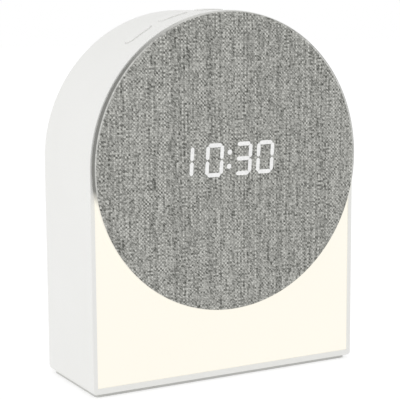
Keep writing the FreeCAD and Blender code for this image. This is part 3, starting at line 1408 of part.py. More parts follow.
make_all()
check_all()
os.makedirs("parts", exist_ok=True)
for piece in pieces:
    piece.Shape.exportStep("parts/%s.step" % piece.Label)
    print("%-20s %3d solids %12.1f mm3" % (piece.Label, len(piece.Shape.Solids), piece.Shape.Volume))
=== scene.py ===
import json
import math

import bpy
import numpy as np
from mathutils import Matrix, Vector


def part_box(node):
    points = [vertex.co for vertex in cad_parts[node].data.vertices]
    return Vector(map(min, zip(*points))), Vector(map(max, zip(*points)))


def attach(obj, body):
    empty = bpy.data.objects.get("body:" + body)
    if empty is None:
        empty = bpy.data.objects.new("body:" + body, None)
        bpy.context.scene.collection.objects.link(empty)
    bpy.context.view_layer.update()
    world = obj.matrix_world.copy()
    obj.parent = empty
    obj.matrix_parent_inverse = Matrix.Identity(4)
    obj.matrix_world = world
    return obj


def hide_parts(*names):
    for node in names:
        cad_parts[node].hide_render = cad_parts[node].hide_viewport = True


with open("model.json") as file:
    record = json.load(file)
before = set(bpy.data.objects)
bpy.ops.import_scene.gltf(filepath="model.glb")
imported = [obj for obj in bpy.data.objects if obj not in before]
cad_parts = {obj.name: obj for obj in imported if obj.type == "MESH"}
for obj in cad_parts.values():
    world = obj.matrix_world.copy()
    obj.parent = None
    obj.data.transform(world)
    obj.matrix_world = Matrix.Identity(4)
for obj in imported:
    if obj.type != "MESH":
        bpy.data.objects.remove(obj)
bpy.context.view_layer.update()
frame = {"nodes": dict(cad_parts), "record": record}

# Looks of a sunrise alarm clock: white moulded case, lit opal panel, cloth-covered disc with a lit display.
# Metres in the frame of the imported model: +Z up, the face looks along -Y.

nodes = frame["nodes"]

MM = 0.001


# Places read from the frame. CLOTH_BEND is the radius at which the cloth turns round the disc's
# edge, and PANEL_LEAVES the height at which the disc's edge crosses the panel's side edge.

case_low, case_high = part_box("housing")
panel_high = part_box("light_diffuser")[1]
cloth_low, cloth_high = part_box("grille_fabric")
bars_low, bars_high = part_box("display_segments")
FRONT_PLANE, CASE_FOOT = case_low.y, case_low.z
CLOTH_BEND = 0.80 * MM
DISC_CENTRE = Vector((0.0, 0.0, (cloth_low.z + cloth_high.z) / 2))
DISPLAY_CENTRE = Vector((0.0, 0.0, (bars_low.z + bars_high.z) / 2))
PANEL_LEAVES = DISC_CENTRE.z - math.sqrt(cloth_high.x ** 2 - panel_high.x ** 2)


# Node trees

def linear(code):
    """The sRGB hex colour as linear RGBA."""
    parts = [int(code[place:place + 2], 16) / 255 for place in (0, 2, 4)]
    return [part / 12.92 if part <= 0.04045 else ((part + 0.055) / 1.055) ** 2.4 for part in parts] + [1.0]


def add(tree, kind, inputs=None, **settings):
    """Adds a node with its settings. Each input is a value, or the output that feeds it."""
    node = tree.nodes.new(kind)
    for name, value in settings.items():
        setattr(node, name, value)
    for name, value in (inputs or {}).items():
        if isinstance(value, bpy.types.NodeSocket):
            tree.links.new(value, node.inputs[name])
        else:
            node.inputs[name].default_value = value
    return node


def new_material(name):
    """An empty material and its node tree."""
    material = bpy.data.materials.new(name)
    material.use_nodes = True
    material.node_tree.nodes.clear()
    return material, material.node_tree


def surface(tree, sockets):
    """Ends the tree in a Principled surface with these sockets."""
    shader = add(tree, "ShaderNodeBsdfPrincipled", sockets)
    add(tree, "ShaderNodeOutputMaterial", {"Surface": shader.outputs["BSDF"]})


def noise(tree, place, size_mm, detail=2.0, roughness=0.5):
    """Noise whose features are about size_mm wide."""
    sockets = {"Vector": place, "Scale": 1 / (size_mm * MM), "Detail": detail, "Roughness": roughness}
    return add(tree, "ShaderNodeTexNoise", sockets).outputs["Fac"]


def calculate(tree, operation, *inputs):
    """Result of a Math node."""
    return add(tree, "ShaderNodeMath", dict(enumerate(inputs)), operation=operation).outputs["Value"]


def map_range(tree, value, low, high, low_to=0.0, high_to=1.0):
    """Value taken from the range low to high and held at its ends."""
    sockets = {"Value": value, "From Min": low, "From Max": high, "To Min": low_to, "To Max": high_to}
    return add(tree, "ShaderNodeMapRange", sockets).outputs["Result"]


def mix_colours(tree, factor, first, second, way="MIX"):
    """Two colours, each a value or an output, mixed."""
    sockets = {0: factor, 6: first, 7: second}
    return add(tree, "ShaderNodeMix", sockets, data_type="RGBA", blend_type=way).outputs[2]


NOISE_LOW, NOISE_HIGH = 0.3, 0.7


def spread(tree, value, low, high):
    """Noise, which stays mostly between these two values, stretched to the range low to high."""
    return map_range(tree, value, NOISE_LOW, NOISE_HIGH, low, high)


def blend_colours(tree, factor, first, second):
    """Mix of two hex colours."""
    return mix_colours(tree, factor, linear(first), linear(second))


def relief(tree, height, depth_mm):
    """Normal of a surface whose height goes up to depth_mm."""
    sockets = {"Height": height, "Strength": 1.0, "Distance": depth_mm * MM}
    return add(tree, "ShaderNodeBump", sockets).outputs["Normal"]


# Finishes

def moulded_plastic(name, colour, shade, roughness, grain_mm=0.45, depth_mm=0.02, ior=1.52):
    """Injection-moulded plastic from a spark-eroded tool: an even satin skin with a fine pebbled grain."""
    material, tree = new_material(name)
    place = add(tree, "ShaderNodeTexCoord").outputs["Object"]
    flow = noise(tree, place, 28.0, detail=1.0)
    grain = noise(tree, place, grain_mm, detail=3.0, roughness=0.6)
    surface(tree, {
        "Base Color": blend_colours(tree, flow, colour, shade),
        "Roughness": spread(tree, grain, roughness - 0.05, roughness + 0.05),
        "IOR": ior,
        "Normal": relief(tree, grain, depth_mm),
    })
    return material


def soft_rubber(name, colour, shade, roughness, grain_mm=0.6, depth_mm=0.03):
    """Pressed silicone or rubber: matt, with a dusty bloom and a faint stipple."""
    material, tree = new_material(name)
    place = add(tree, "ShaderNodeTexCoord").outputs["Object"]
    bloom = noise(tree, place, 9.0)
    stipple = noise(tree, place, grain_mm, detail=2.0)
    surface(tree, {
        "Base Color": blend_colours(tree, bloom, colour, shade),
        "Roughness": spread(tree, bloom, roughness - 0.06, roughness + 0.06),
        "IOR": 1.43,
        "Sheen Weight": 0.15,
        "Sheen Roughness": 0.5,
        "Normal": relief(tree, stipple, depth_mm),
    })
    return material


def plated_metal(name, colour, shade, roughness, grain=(0.15, 6.0, 0.15), depth_mm=0.004):
    """Rolled or drawn metal with a plated skin: fine lines along the working direction."""
    material, tree = new_material(name)
    place = add(tree, "ShaderNodeTexCoord").outputs["Object"]
    scale = [1 / (size * MM) for size in grain]
    lines = add(tree, "ShaderNodeMapping", {"Vector": place, "Scale": scale}).outputs["Vector"]
    streak = add(tree, "ShaderNodeTexNoise", {"Vector": lines, "Scale": 1.0, "Detail": 2.0}).outputs["Fac"]
    surface(tree, {
        "Base Color": blend_colours(tree, streak, colour, shade),
        "Metallic": 1.0,
        "Roughness": spread(tree, streak, roughness - 0.06, roughness + 0.06),
        "Normal": relief(tree, streak, depth_mm),
    })
    return material


def printed_board(name, resist, track, line_mm=1.6):
    """Glass-epoxy board under solder resist: the copper tracks show as a paler net through the lacquer."""
    material, tree = new_material(name)
    place = add(tree, "ShaderNodeTexCoord").outputs["Object"]
    turned = add(tree, "ShaderNodeMapping", {"Vector": place, "Rotation": (math.radians(90), 0.0, 0.0)})
    tracks = add(tree, "ShaderNodeTexBrick", {
        "Vector": turned.outputs["Vector"],
        "Color1": (0.0, 0.0, 0.0, 1.0),
        "Color2": (0.25, 0.25, 0.25, 1.0),
        "Mortar": (1.0, 1.0, 1.0, 1.0),
        "Scale": 1 / (10 * line_mm * MM),
        "Mortar Size": 0.03,
        "Mortar Smooth": 0.2,
    })
    weave = noise(tree, place, 0.8)
    surface(tree, {
        "Base Color": blend_colours(tree, tracks.outputs["Color"], resist, track),
        "Roughness": spread(tree, weave, 0.22, 0.34),
        "IOR": 1.55,
        "Normal": relief(tree, tracks.outputs["Color"], 0.03),
    })
    return material


def fibrous(name, colour, shade, roughness, fibre_mm, depth_mm):
    """Pressed or felted fibres: matt, with short strands lying every way."""
    material, tree = new_material(name)
    place = add(tree, "ShaderNodeTexCoord").outputs["Object"]
    warp = noise(tree, place, 3.0)
    bent = add(tree, "ShaderNodeVectorMath", {0: place, 1: warp}, operation="ADD").outputs["Vector"]
    strands = noise(tree, bent, fibre_mm, detail=4.0, roughness=0.7)
    surface(tree, {
        "Base Color": blend_colours(tree, strands, colour, shade),
        "Roughness": roughness,
        "Sheen Weight": 0.2,
        "Normal": relief(tree, strands, depth_mm),
    })
    return material


def lit_phosphor(name):
    """Silicone with yellow phosphor over a blue die: a warm pool of light in a white frame."""
    material, tree = new_material(name)
    place = add(tree, "ShaderNodeTexCoord").outputs["Object"]
    grains = noise(tree, place, 0.3)
    surface(tree, {
        "Base Color": blend_colours(tree, grains, "ffd98a", "fff0c8"),
        "Roughness": 0.35,
        "Emission Color": linear("fff3d6"),
        "Emission Strength": 1.0,
    })
    return material


# Lit panel

PANEL_GLOW = "fffbef"
PANEL_EMISSION = 0.78
OPAL, OPAL_HAZE = "7d7a72", "817e76"


def opal_acrylic():
    """Opal cast acrylic in front of evenly spread warm white lamps.

    The glow hides the lamps and nearly all shading, so most of the brightness is emission and
    little is reflected light.
    """
    material, tree = new_material("opal_acrylic")
    place = add(tree, "ShaderNodeTexCoord").outputs["Object"]
    haze = noise(tree, place, 45.0, detail=0.0)
    surface(tree, {
        "Base Color": blend_colours(tree, haze, OPAL, OPAL_HAZE),
        "Roughness": 0.55,
        "IOR": 1.49,
        "Emission Color": linear(PANEL_GLOW),
        "Emission Strength": PANEL_EMISSION,
        "Normal": relief(tree, noise(tree, place, 0.4), 0.006),
    })
    return material


# Cloth: plain weave of melange polyester yarn. The real threads are about 0.5 mm apart, which is
# finer than a pixel of the picture, so they are drawn as coarse as they show there.

THREAD_MM = 1.05
SLUB_MM = 12.0
THREAD_WANDER = 1.4          # threads of sideways drift for each unit of the noise that makes it
WANDER_PACE = 0.12           # how fast that noise changes from thread to thread
UPRIGHT = {"seed": 11.0, "own_share": 0.34, "slow_share": 1.00, "middle": 0.58}
LEVEL = {"seed": 57.0, "own_share": 0.08, "slow_share": 0.40, "middle": 0.42}
THREAD_APART = 3.7           # between two threads' places in the noise, so that they differ
TWIST_ALONG, TWIST_ACROSS = 0.42, 1.10
FLECK_SHARE, FIBRE_SHARE = 0.30, 1.30
KEEP_POSITIVE = 1000.0       # even, so the parity of a crossing stays
DARK_YARN, LIGHT_YARN = "545550", "dadad4"
DARKEST_SHADE, PALEST_SHADE = 0.12, 0.86
SHADE_BETWEEN_THREADS = 0.72       # painted shade between two threads: brightness there, against 1 on top of them

# Cloth round the disc's edge: a painted highlight, painted light and shade, and a painted glow
# painted shade down the side's flanks, painted light at its top, painted highlight round the bend
EDGE_SHADE, EDGE_TOP_LIT, EDGE_HIGHLIGHT = "80807c", "d2d2ce", "e8e8e4"
EDGE_PAINTED_GLOW = (0.74, 0.84)     # painted glow for the panel's light on the turned edge, at the front and at the panel
# span out from the middle over which the side's painted light turns to painted shade, and heights where it
# gives way to the painted glow
FLANK_FROM, FLANK_TO = 28 * MM, 62 * MM
FADE_BELOW, FADE_ABOVE = 1 * MM, 7 * MM
SIDE_FROM, SIDE_TO = 0.15, 0.35
# painted highlight: a band just inside the bend, and the share of the highlight colour in it
HIGHLIGHT_FROM, HIGHLIGHT_TO, HIGHLIGHT_SHARE = 0.60 * MM, 0.45 * MM, 0.6


def flat_place(tree):
    """Place on the cloth when it lies flat, from its centre."""
    return add(tree, "ShaderNodeAttribute", attribute_name="flat_place").outputs["Vector"]


def woven_tone(tree):
    """Shade of each thread and height of the weave, both from 0 to 1, over the flat cloth.

    Threads run where the whole part of a coordinate is constant. Every other crossing, by the
    parity of both whole parts, shows the upright thread, which is the paler one. A thread's shade
    is noise stretched along it, plus its own random number, plus one for each crossing, plus
    the fibres, which are noise stretched along the slant of the yarn's twist.
    """
    in_threads = {0: flat_place(tree), "Scale": 1 / (THREAD_MM * MM)}
    scaled = add(tree, "ShaderNodeVectorMath", in_threads, operation="SCALE").outputs["Vector"]
    drift = add(tree, "ShaderNodeTexNoise", {"Vector": scaled, "Scale": WANDER_PACE, "Detail": 1.0})
    about_middle = {0: drift.outputs["Color"], 1: (0.5, 0.5, 0.5)}
    centred = add(tree, "ShaderNodeVectorMath", about_middle, operation="SUBTRACT").outputs["Vector"]
    wander = {0: centred, 1: [THREAD_WANDER] * 3, 2: scaled}
    moved = add(tree, "ShaderNodeVectorMath", wander, operation="MULTIPLY_ADD")
    across = add(tree, "ShaderNodeSeparateXYZ", {"Vector": moved.outputs["Vector"]})
    right, up = across.outputs["X"], across.outputs["Y"]
    column, row = calculate(tree, "FLOOR", right), calculate(tree, "FLOOR", up)
    both = calculate(tree, "ADD", calculate(tree, "ADD", column, row), KEEP_POSITIVE)
    parity = calculate(tree, "MODULO", both, 2.0)

    def thread(number, along, seed, own_share, slow_share, middle):
        """One thread's shade: its own number and slow changes along it, about a middle value."""
        numbered = calculate(tree, "ADD", number, seed)
        own = add(tree, "ShaderNodeTexWhiteNoise", {"W": numbered}, noise_dimensions="1D")
        spot = add(tree, "ShaderNodeCombineXYZ", {
            "X": calculate(tree, "MULTIPLY", numbered, THREAD_APART),
            "Y": calculate(tree, "MULTIPLY", along, THREAD_MM / SLUB_MM),
        }).outputs["Vector"]
        slow = add(tree, "ShaderNodeTexNoise", {"Vector": spot, "Scale": 1.0, "Detail": 1.0})
        own_part = calculate(tree, "MULTIPLY_ADD", own.outputs["Value"], own_share, middle - own_share / 2)
        rest = calculate(tree, "SUBTRACT", own_part, slow_share / 2)
        return calculate(tree, "MULTIPLY_ADD", slow.outputs["Fac"], slow_share, rest)

    upright = thread(column, up, **UPRIGHT)
    level = thread(row, right, **LEVEL)
    top = add(tree, "ShaderNodeMix", {0: parity, 2: level, 3: upright}, data_type="FLOAT").outputs[0]
    crossing = add(tree, "ShaderNodeCombineXYZ", {"X": column, "Y": row}).outputs["Vector"]
    fleck = add(tree, "ShaderNodeTexWhiteNoise", {"Vector": crossing}, noise_dimensions="2D")
    twist = add(tree, "ShaderNodeCombineXYZ", {
        "X": calculate(tree, "MULTIPLY", calculate(tree, "SUBTRACT", right, up), TWIST_ALONG),
        "Y": calculate(tree, "MULTIPLY", calculate(tree, "ADD", right, up), TWIST_ACROSS),
    }).outputs["Vector"]
    fibre = add(tree, "ShaderNodeTexNoise", {"Vector": twist, "Scale": 1.0, "Detail": 2.0})
    flecks = calculate(tree, "MULTIPLY_ADD", fleck.outputs["Value"], FLECK_SHARE, -FLECK_SHARE / 2)
    fibres = calculate(tree, "MULTIPLY_ADD", fibre.outputs["Fac"], FIBRE_SHARE, -FIBRE_SHARE / 2)
    shade = calculate(tree, "ADD", top, calculate(tree, "ADD", flecks, fibres))

    def bulge(coordinate):
        """1 on a thread's middle line, 0 between two threads."""
        from_middle = calculate(tree, "SUBTRACT", calculate(tree, "FRACT", coordinate), 0.5)
        return calculate(tree, "COSINE", calculate(tree, "MULTIPLY", from_middle, math.pi))

    height = calculate(tree, "POWER", calculate(tree, "MULTIPLY", bulge(right), bulge(up)), 0.5)
    return shade, height


def woven_cloth():
    """Melange plain weave: pale and dark yarns mix to a speckled grey with upright slubs.

    Round the disc's upper flanks a thin painted highlight is mixed in just inside the bend.
    On the side the colour is even, with painted light and shade: pale at the top, where light
    falls from above, and darker down the flanks, a painted shadow of the gap behind the disc.
    Below the panel's top the side takes the panel's colour and a painted glow for its light.
    """
    material, tree = new_material("melange_cloth")
    shade, height = woven_tone(tree)
    yarn = blend_colours(tree, map_range(tree, shade, DARKEST_SHADE, PALEST_SHADE), DARK_YARN, LIGHT_YARN)
    # painted shade between the threads
    thread_gap_shade = map_range(tree, height, 0.0, 1.0, SHADE_BETWEEN_THREADS, 1.0)
    woven = mix_colours(tree, 1.0, yarn, thread_gap_shade, "MULTIPLY")
    reach = add(tree, "ShaderNodeVectorMath", {0: flat_place(tree)}, operation="LENGTH").outputs["Value"]
    spot = add(tree, "ShaderNodeTexCoord").outputs["Object"]
    place = add(tree, "ShaderNodeSeparateXYZ", {"Vector": spot}).outputs
    turn = (cloth_high.x - cloth_low.x) / 2 - CLOTH_BEND
    arc = CLOTH_BEND * math.pi / 2
    flank = map_range(tree, calculate(tree, "ABSOLUTE", place["X"]), FLANK_FROM, FLANK_TO)
    above = map_range(tree, place["Z"], PANEL_LEAVES - FADE_BELOW, PANEL_LEAVES + FADE_ABOVE)
    side = map_range(tree, reach, turn + SIDE_FROM * arc, turn + SIDE_TO * arc)
    # painted highlight: a thin band just inside the bend, on the upper flanks only
    highlight_band = map_range(tree, reach, turn - HIGHLIGHT_FROM, turn - HIGHLIGHT_TO)
    painted_highlight = calculate(tree, "MULTIPLY", highlight_band, HIGHLIGHT_SHARE)
    upper_flank = calculate(tree, "MULTIPLY", flank, above)
    bent = mix_colours(tree, calculate(tree, "MULTIPLY", painted_highlight, upper_flank), woven, linear(EDGE_HIGHLIGHT))
    # painted light and shade on the side: pale at the top, darker down the flanks
    painted_side_shade = blend_colours(tree, flank, EDGE_TOP_LIT, EDGE_SHADE)
    unlit = mix_colours(tree, calculate(tree, "MULTIPLY", side, above), bent, painted_side_shade)
    # below the panel's top the side takes the panel's colour and a painted glow for the panel's light on it
    through = calculate(tree, "MULTIPLY", side, calculate(tree, "SUBTRACT", 1.0, above))
    glow = map_range(tree, place["Y"], cloth_low.y, cloth_high.y, *EDGE_PAINTED_GLOW)
    surface(tree, {
        "Base Color": mix_colours(tree, through, unlit, linear(OPAL)),
        "Roughness": 0.85,
        "IOR": 1.45,
        "Specular IOR Level": 0.25,
        "Sheen Weight": 0.08,
        "Sheen Roughness": 0.5,
        "Emission Color": linear(PANEL_GLOW),
        "Emission Strength": calculate(tree, "MULTIPLY", through, glow),
        "Normal": relief(tree, height, 0.06),
    })
    return material


LIT_DARK_YARN, LIT_LIGHT_YARN = "8e8e8a", "b4b4b0"
DIGIT_GLOW_BETWEEN, DIGIT_GLOW = "eeeef0", "fdfdff"
DIGIT_EMISSION = 0.58


def lit_cloth():
    """The same weave with a light guide behind it: the light evens the yarns out to near white."""
    material, tree = new_material("lit_cloth")
    shade, height = woven_tone(tree)
    surface(tree, {
        "Base Color": blend_colours(tree, shade, LIT_DARK_YARN, LIT_LIGHT_YARN),
        "Roughness": 0.85,
        "Specular IOR Level": 0.25,
        "Emission Color": blend_colours(tree, height, DIGIT_GLOW_BETWEEN, DIGIT_GLOW),
        "Emission Strength": DIGIT_EMISSION,
    })
    return material


# Pieces

def make_object(name, points, faces, material, flat=None):
    """Object at the origin from an array of points and lists of corner numbers."""
    mesh = bpy.data.meshes.new(name)
    mesh.from_pydata(points.tolist(), [], faces)
    mesh.polygons.foreach_set("use_smooth", np.ones(len(mesh.polygons), bool))
    if flat is not None:
        places = mesh.attributes.new("flat_place", "FLOAT_VECTOR", "POINT")
        places.data.foreach_set("vector", flat.astype(np.float32).ravel())
    mesh.materials.append(material)
    mesh.update()
    piece = bpy.data.objects.new(name, mesh)
    bpy.context.scene.collection.objects.link(piece)
    return piece


def ring_faces(rings, steps, offset=0):
    """Quads between neighbouring rings of points, each ring closed on itself."""
    ring, step = np.meshgrid(np.arange(rings - 1), np.arange(steps), indexing="ij")
    after_ring, after_step = ring + 1, (step + 1) % steps
    quads = np.stack([
        ring * steps + step, ring * steps + after_step,
        after_ring * steps + after_step, after_ring * steps + step,
    ], axis=-1)
    return (quads.reshape(-1, 4) + offset).tolist()


CLOTH_STEPS = 288
CLOTH_RINGS = 24
CLOTH_THICKNESS = 0.45 * MM
CLOTH_RETURN = 6.0 * MM
CLOTH_FOLD = 0.25 * MM
FOLD_CORNER = 0.3            # share of the fold left at its blunt corner
BEND_STEPS = 8


def cloth_profile():
    """Half section of the cloth's outer face as (radius, y): from the disc's centre straight out,
    round the edge by a quarter circle, back along the side and in again behind the disc."""
    radius = (cloth_high.x - cloth_low.x) / 2
    front, back = cloth_low.y, cloth_high.y
    turn = radius - CLOTH_BEND
    flat = np.stack([np.linspace(0, turn, CLOTH_RINGS), np.full(CLOTH_RINGS, front)], axis=1)
    angle = np.linspace(0, math.pi / 2, BEND_STEPS + 1)[1:]
    bend = np.stack([turn + CLOTH_BEND * np.sin(angle), front + CLOTH_BEND * (1 - np.cos(angle))], axis=1)
    corner = CLOTH_FOLD * FOLD_CORNER
    tail = np.array([
        (radius, back - CLOTH_FOLD),
        (radius - corner, back - corner),
        (radius - CLOTH_FOLD, back),
        (radius - CLOTH_RETURN / 2, back),
        (radius - CLOTH_RETURN, back),
    ])
    return np.concatenate([flat, bend, tail])


def inset_profile(profile, thickness):
    """The section's inner face: each point moved by the thickness towards the cloth's inside."""
    run = np.gradient(profile, axis=0)
    run /= np.linalg.norm(run, axis=1)[:, None]
    inward = np.stack([-run[:, 1], run[:, 0]], axis=1)
    inner = profile + inward * thickness
    inner[:, 0] = np.maximum(inner[:, 0], 0.0)
    inner[0] = (0.0, profile[0, 1] + thickness)
    return inner


def make_disc_cloth(material):
    """Cloth over the disc as a closed skin: its section turned about the disc's axis.

    A point at radius r and angle a stands at x = r sin a, z = r cos a. Its place on the flat
    cloth is the same angle at the distance measured along the section from the centre.
    """
    outer = cloth_profile()
    inner = inset_profile(outer, CLOTH_THICKNESS)
    section = np.concatenate([outer[1:], inner[:0:-1]])
    reach = np.concatenate([[0.0], np.cumsum(np.linalg.norm(np.diff(outer, axis=0), axis=1))])
    reach = np.concatenate([reach[1:], reach[:0:-1]])
    angle = np.arange(CLOTH_STEPS) * 2 * math.pi / CLOTH_STEPS
    sine, cosine = np.sin(angle), np.cos(angle)
    points = np.stack([
        section[:, :1] * sine,
        np.repeat(section[:, 1:], CLOTH_STEPS, axis=1),
        section[:, :1] * cosine + DISC_CENTRE.z,
    ], axis=-1).reshape(-1, 3)
    flat = np.stack([reach[:, None] * sine, reach[:, None] * cosine, 0 * reach[:, None] * sine], axis=-1)
    poles = np.array([(0.0, outer[0, 1], DISC_CENTRE.z), (0.0, inner[0, 1], DISC_CENTRE.z)])
    points = np.concatenate([points, poles])
    flat = np.concatenate([flat.reshape(-1, 3), np.zeros((2, 3))])
    faces = ring_faces(len(section), CLOTH_STEPS)
    last = (len(section) - 1) * CLOTH_STEPS
    for step in range(CLOTH_STEPS):
        after = (step + 1) % CLOTH_STEPS
        faces.append([len(points) - 2, after, step])
        faces.append([len(points) - 1, last + step, last + after])
    piece = make_object("disc_cloth", points, faces, material, flat)
    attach(piece, "case")
    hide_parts("grille_fabric")


# Lit bars of the display: ten thirty

DIGIT_HEIGHT = bars_high.z - bars_low.z
DIGIT_WIDTH = 10.8 * MM
BAR_WIDTH = 2.0 * MM
BAR_GAP = 0.5 * MM
DIGIT_SLANT = math.radians(3.6)
HOURS_TENS_X, HOURS_X, COLON_X, MINUTES_TENS_X, MINUTES_X = (x * MM for x in (-24.4, -10.5, -1.3, 7.4, 21.4))
COLON_RISE = 3.85 * MM
COLON_RADIUS = 1.3 * MM
GLOW_SPREAD = 0.12 * MM      # light that creeps sideways in the cloth, past a bar's edge
GLOW_LIFT = 0.05 * MM        # thickness of the lit skin in front of the cloth
BAR_STATIONS, BAR_SIDES = 33, 16
BAR_BLUNTNESS = 1.35         # between a pointed tip, 1, and a round one, 2
SKIN_SWELL = 3               # lit skin is at its full lift where the bar has a third of its width

# Each bar's place in halves of the digit's width and quarters of its height, and whether it is upright
BARS = {
    "top": (0, 2, False), "middle": (0, 0, False), "bottom": (0, -2, False),
    "upper_right": (1, 1, True), "lower_right": (1, -1, True),
    "upper_left": (-1, 1, True), "lower_left": (-1, -1, True),
}
NUMERALS = {
    "0": ("top", "bottom", "upper_right", "lower_right", "upper_left", "lower_left"),
    "1": ("upper_right", "lower_right"),
    "3": ("top", "middle", "bottom", "upper_right", "lower_right"),
}


def lozenge(half_length, half_width, upright, x, z, bluntness=BAR_BLUNTNESS):
    """One lit bar as a closed skin: an ellipse carried along the bar.

    At the share s of the half length, from -1 to 1, the ellipse is half_width wide on each side
    until it nears the tip. Over the last half width it narrows as w (1 - d^n)^(1/n), with d the
    distance from where the tip begins and n the bluntness.
    """
    share = np.sin(np.linspace(-math.pi / 2, math.pi / 2, BAR_STATIONS))
    left = (1 - np.abs(share)) * half_length / half_width
    width = half_width * (1 - np.clip(1 - left, 0, 1) ** bluntness) ** (1 / bluntness)
    angle = np.arange(BAR_SIDES) * 2 * math.pi / BAR_SIDES
    along = np.repeat(share[:, None] * half_length, BAR_SIDES, axis=1)
    across = width[:, None] * np.cos(angle)
    lift = GLOW_LIFT * np.minimum(1, width / half_width * SKIN_SWELL)
    out = cloth_low.y - lift[:, None] * np.sin(angle)
    if upright:
        place = [across + x, out, along + z]
    else:
        place = [along + x, out, -across + z]
    return np.stack(place, axis=-1).reshape(-1, 3)


def make_lit_digits(material):
    """Every lit bar and both dots of the colon, in one piece of separate closed skins.

    All lean to the right: x grows by the tangent of the slant for each unit of height.
    """
    centre = DISPLAY_CENTRE.z
    wide = (DIGIT_WIDTH - BAR_WIDTH) / 2
    high = (DIGIT_HEIGHT - BAR_WIDTH) / 4
    half_width = BAR_WIDTH / 2 + GLOW_SPREAD
    skins = []
    for numeral, x in (("0", HOURS_X), ("3", MINUTES_TENS_X), ("0", MINUTES_X)):
        for bar in NUMERALS[numeral]:
            side, rise, upright = BARS[bar]
            half_length = (high if upright else wide) - BAR_GAP / 2
            skins.append(lozenge(half_length, half_width, upright, x + side * wide, centre + rise * high))
    for bar in NUMERALS["1"]:
        rise = BARS[bar][1]
        skins.append(lozenge(high - BAR_GAP / 2, half_width, True, HOURS_TENS_X, centre + rise * high))
    for rise in (-COLON_RISE, COLON_RISE):
        radius = COLON_RADIUS + GLOW_SPREAD
        skins.append(lozenge(radius, radius, True, COLON_X, centre + rise, bluntness=2))
    faces = []
    for place in range(len(skins)):
        faces += ring_faces(BAR_STATIONS, BAR_SIDES, offset=place * BAR_STATIONS * BAR_SIDES)
    points = np.concatenate(skins)
    points[:, 0] += (points[:, 2] - centre) * math.tan(DIGIT_SLANT)
    flat = np.stack([points[:, 0], points[:, 2] - DISC_CENTRE.z, 0 * points[:, 0]], axis=1)
    piece = make_object("lit_digits", points, faces, material, flat)
    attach(piece, "case")


# Finish of every node of the model

WHITE_ABS, WHITE_ABS_SHADE = "efefed", "ecece9"


def finish_nodes():
    """Gives each node the finish of its material slot."""
    makers = {
        "case_plastic": lambda name: moulded_plastic(name, WHITE_ABS, WHITE_ABS_SHADE, 0.48),
        "cover_plastic": lambda name: moulded_plastic(name, "ededea", "eaeae7", 0.52),
        "button_plastic": lambda name: moulded_plastic(name, WHITE_ABS, WHITE_ABS_SHADE, 0.40, 0.35, 0.012),
        "silicone": lambda name: soft_rubber(name, "cfcfcc", "c6c6c3", 0.70),
        "milky_acrylic": lambda name: opal_acrylic(),
        "white_reflector": lambda name: moulded_plastic(name, "f4f4f2", "f0f0ee", 0.60),
        "chassis_plastic": lambda name: moulded_plastic(name, "e4e4e0", "dededa", 0.50),
        "grille_plastic": lambda name: moulded_plastic(name, "4a4a4a", "424242", 0.55),
        "heathered_cloth": lambda name: woven_cloth(),
        "black_plastic": lambda name: moulded_plastic(name, "1c1c1d", "161617", 0.42),
        "light_guide": lambda name: moulded_plastic(name, "f2f2f0", "ececea", 0.25, 0.8, 0.005, 1.59),
        "circuit_board": lambda name: printed_board(name, "14532f", "2b7a48"),
        "lamp_board": lambda name: printed_board(name, "efefec", "dcdcd8"),
        "lamp_chip": lit_phosphor,
        "pressed_steel": lambda name: moulded_plastic(name, "232323", "1b1b1b", 0.38, 0.3, 0.01),
        "foam": lambda name: fibrous(name, "262626", "141414", 0.95, 0.5, 0.20),
        "black_rubber": lambda name: soft_rubber(name, "1f1f1f", "292929", 0.62, 0.3, 0.01),
        "paper_pulp": lambda name: fibrous(name, "2c2c2c", "181818", 0.85, 0.7, 0.05),
        "spider_cloth": lambda name: fibrous(name, "b78f45", "9b7431", 0.70, 0.5, 0.08),
        "copper": lambda name: plated_metal(name, "c8743c", "9c4f22", 0.30, (3.0, 0.25, 3.0), 0.05),
        "zinc_steel": lambda name: plated_metal(name, "c4c6c8", "a9abae", 0.30),
        "ferrite": lambda name: moulded_plastic(name, "2f2f31", "262628", 0.60, 0.5, 0.04, 2.0),
        "terminal_board": lambda name: moulded_plastic(name, "7a5226", "68431c", 0.45, 0.4, 0.02),
        "chip_resin": lambda name: moulded_plastic(name, "1b1b1c", "242425", 0.55, 0.3, 0.015),
        "capacitor_can": lambda name: plated_metal(name, "c9cbce", "b4b6b9", 0.25, (0.2, 5.0, 0.2)),
        "connector_nylon": lambda name: moulded_plastic(name, "efeadb", "e6e0cf", 0.45, 0.6, 0.01),
        "tinned_steel": lambda name: plated_metal(name, "d2d2ce", "bcbcb7", 0.28, (6.0, 6.0, 0.15)),
        "cell_steel": lambda name: plated_metal(name, "d0cfca", "bdbbb5", 0.22, (0.3, 0.3, 5.0)),
        "brass_pin": lambda name: plated_metal(name, "d9c48a", "c4ab69", 0.22),
        "polyimide": lambda name: moulded_plastic(name, "c27a1e", "a8630f", 0.25, 1.2, 0.01, 1.7),
        "switch_resin": lambda name: moulded_plastic(name, "222223", "1a1a1b", 0.50, 0.3, 0.01),
        "switch_stem": lambda name: moulded_plastic(name, "2e2e2f", "262627", 0.45, 0.3, 0.01),
        "screw_steel": lambda name: plated_metal(name, "a4a6a9", "8d8f93", 0.32, (0.3, 3.0, 0.3)),
        "lead_jacket": lambda name: fibrous(name, "2a2a2c", "1a1a1c", 0.60, 0.4, 0.04),
    }
    finishes = {}
    for row in frame["record"]["subparts"]:
        slot = row["material_slot"]
        if slot not in finishes:
            finishes[slot] = makers[slot](slot)
        materials = nodes[row["node"]].data.materials
        materials.clear()
        materials.append(finishes[slot])
    return finishes


# Stage: a white sweep under soft even light

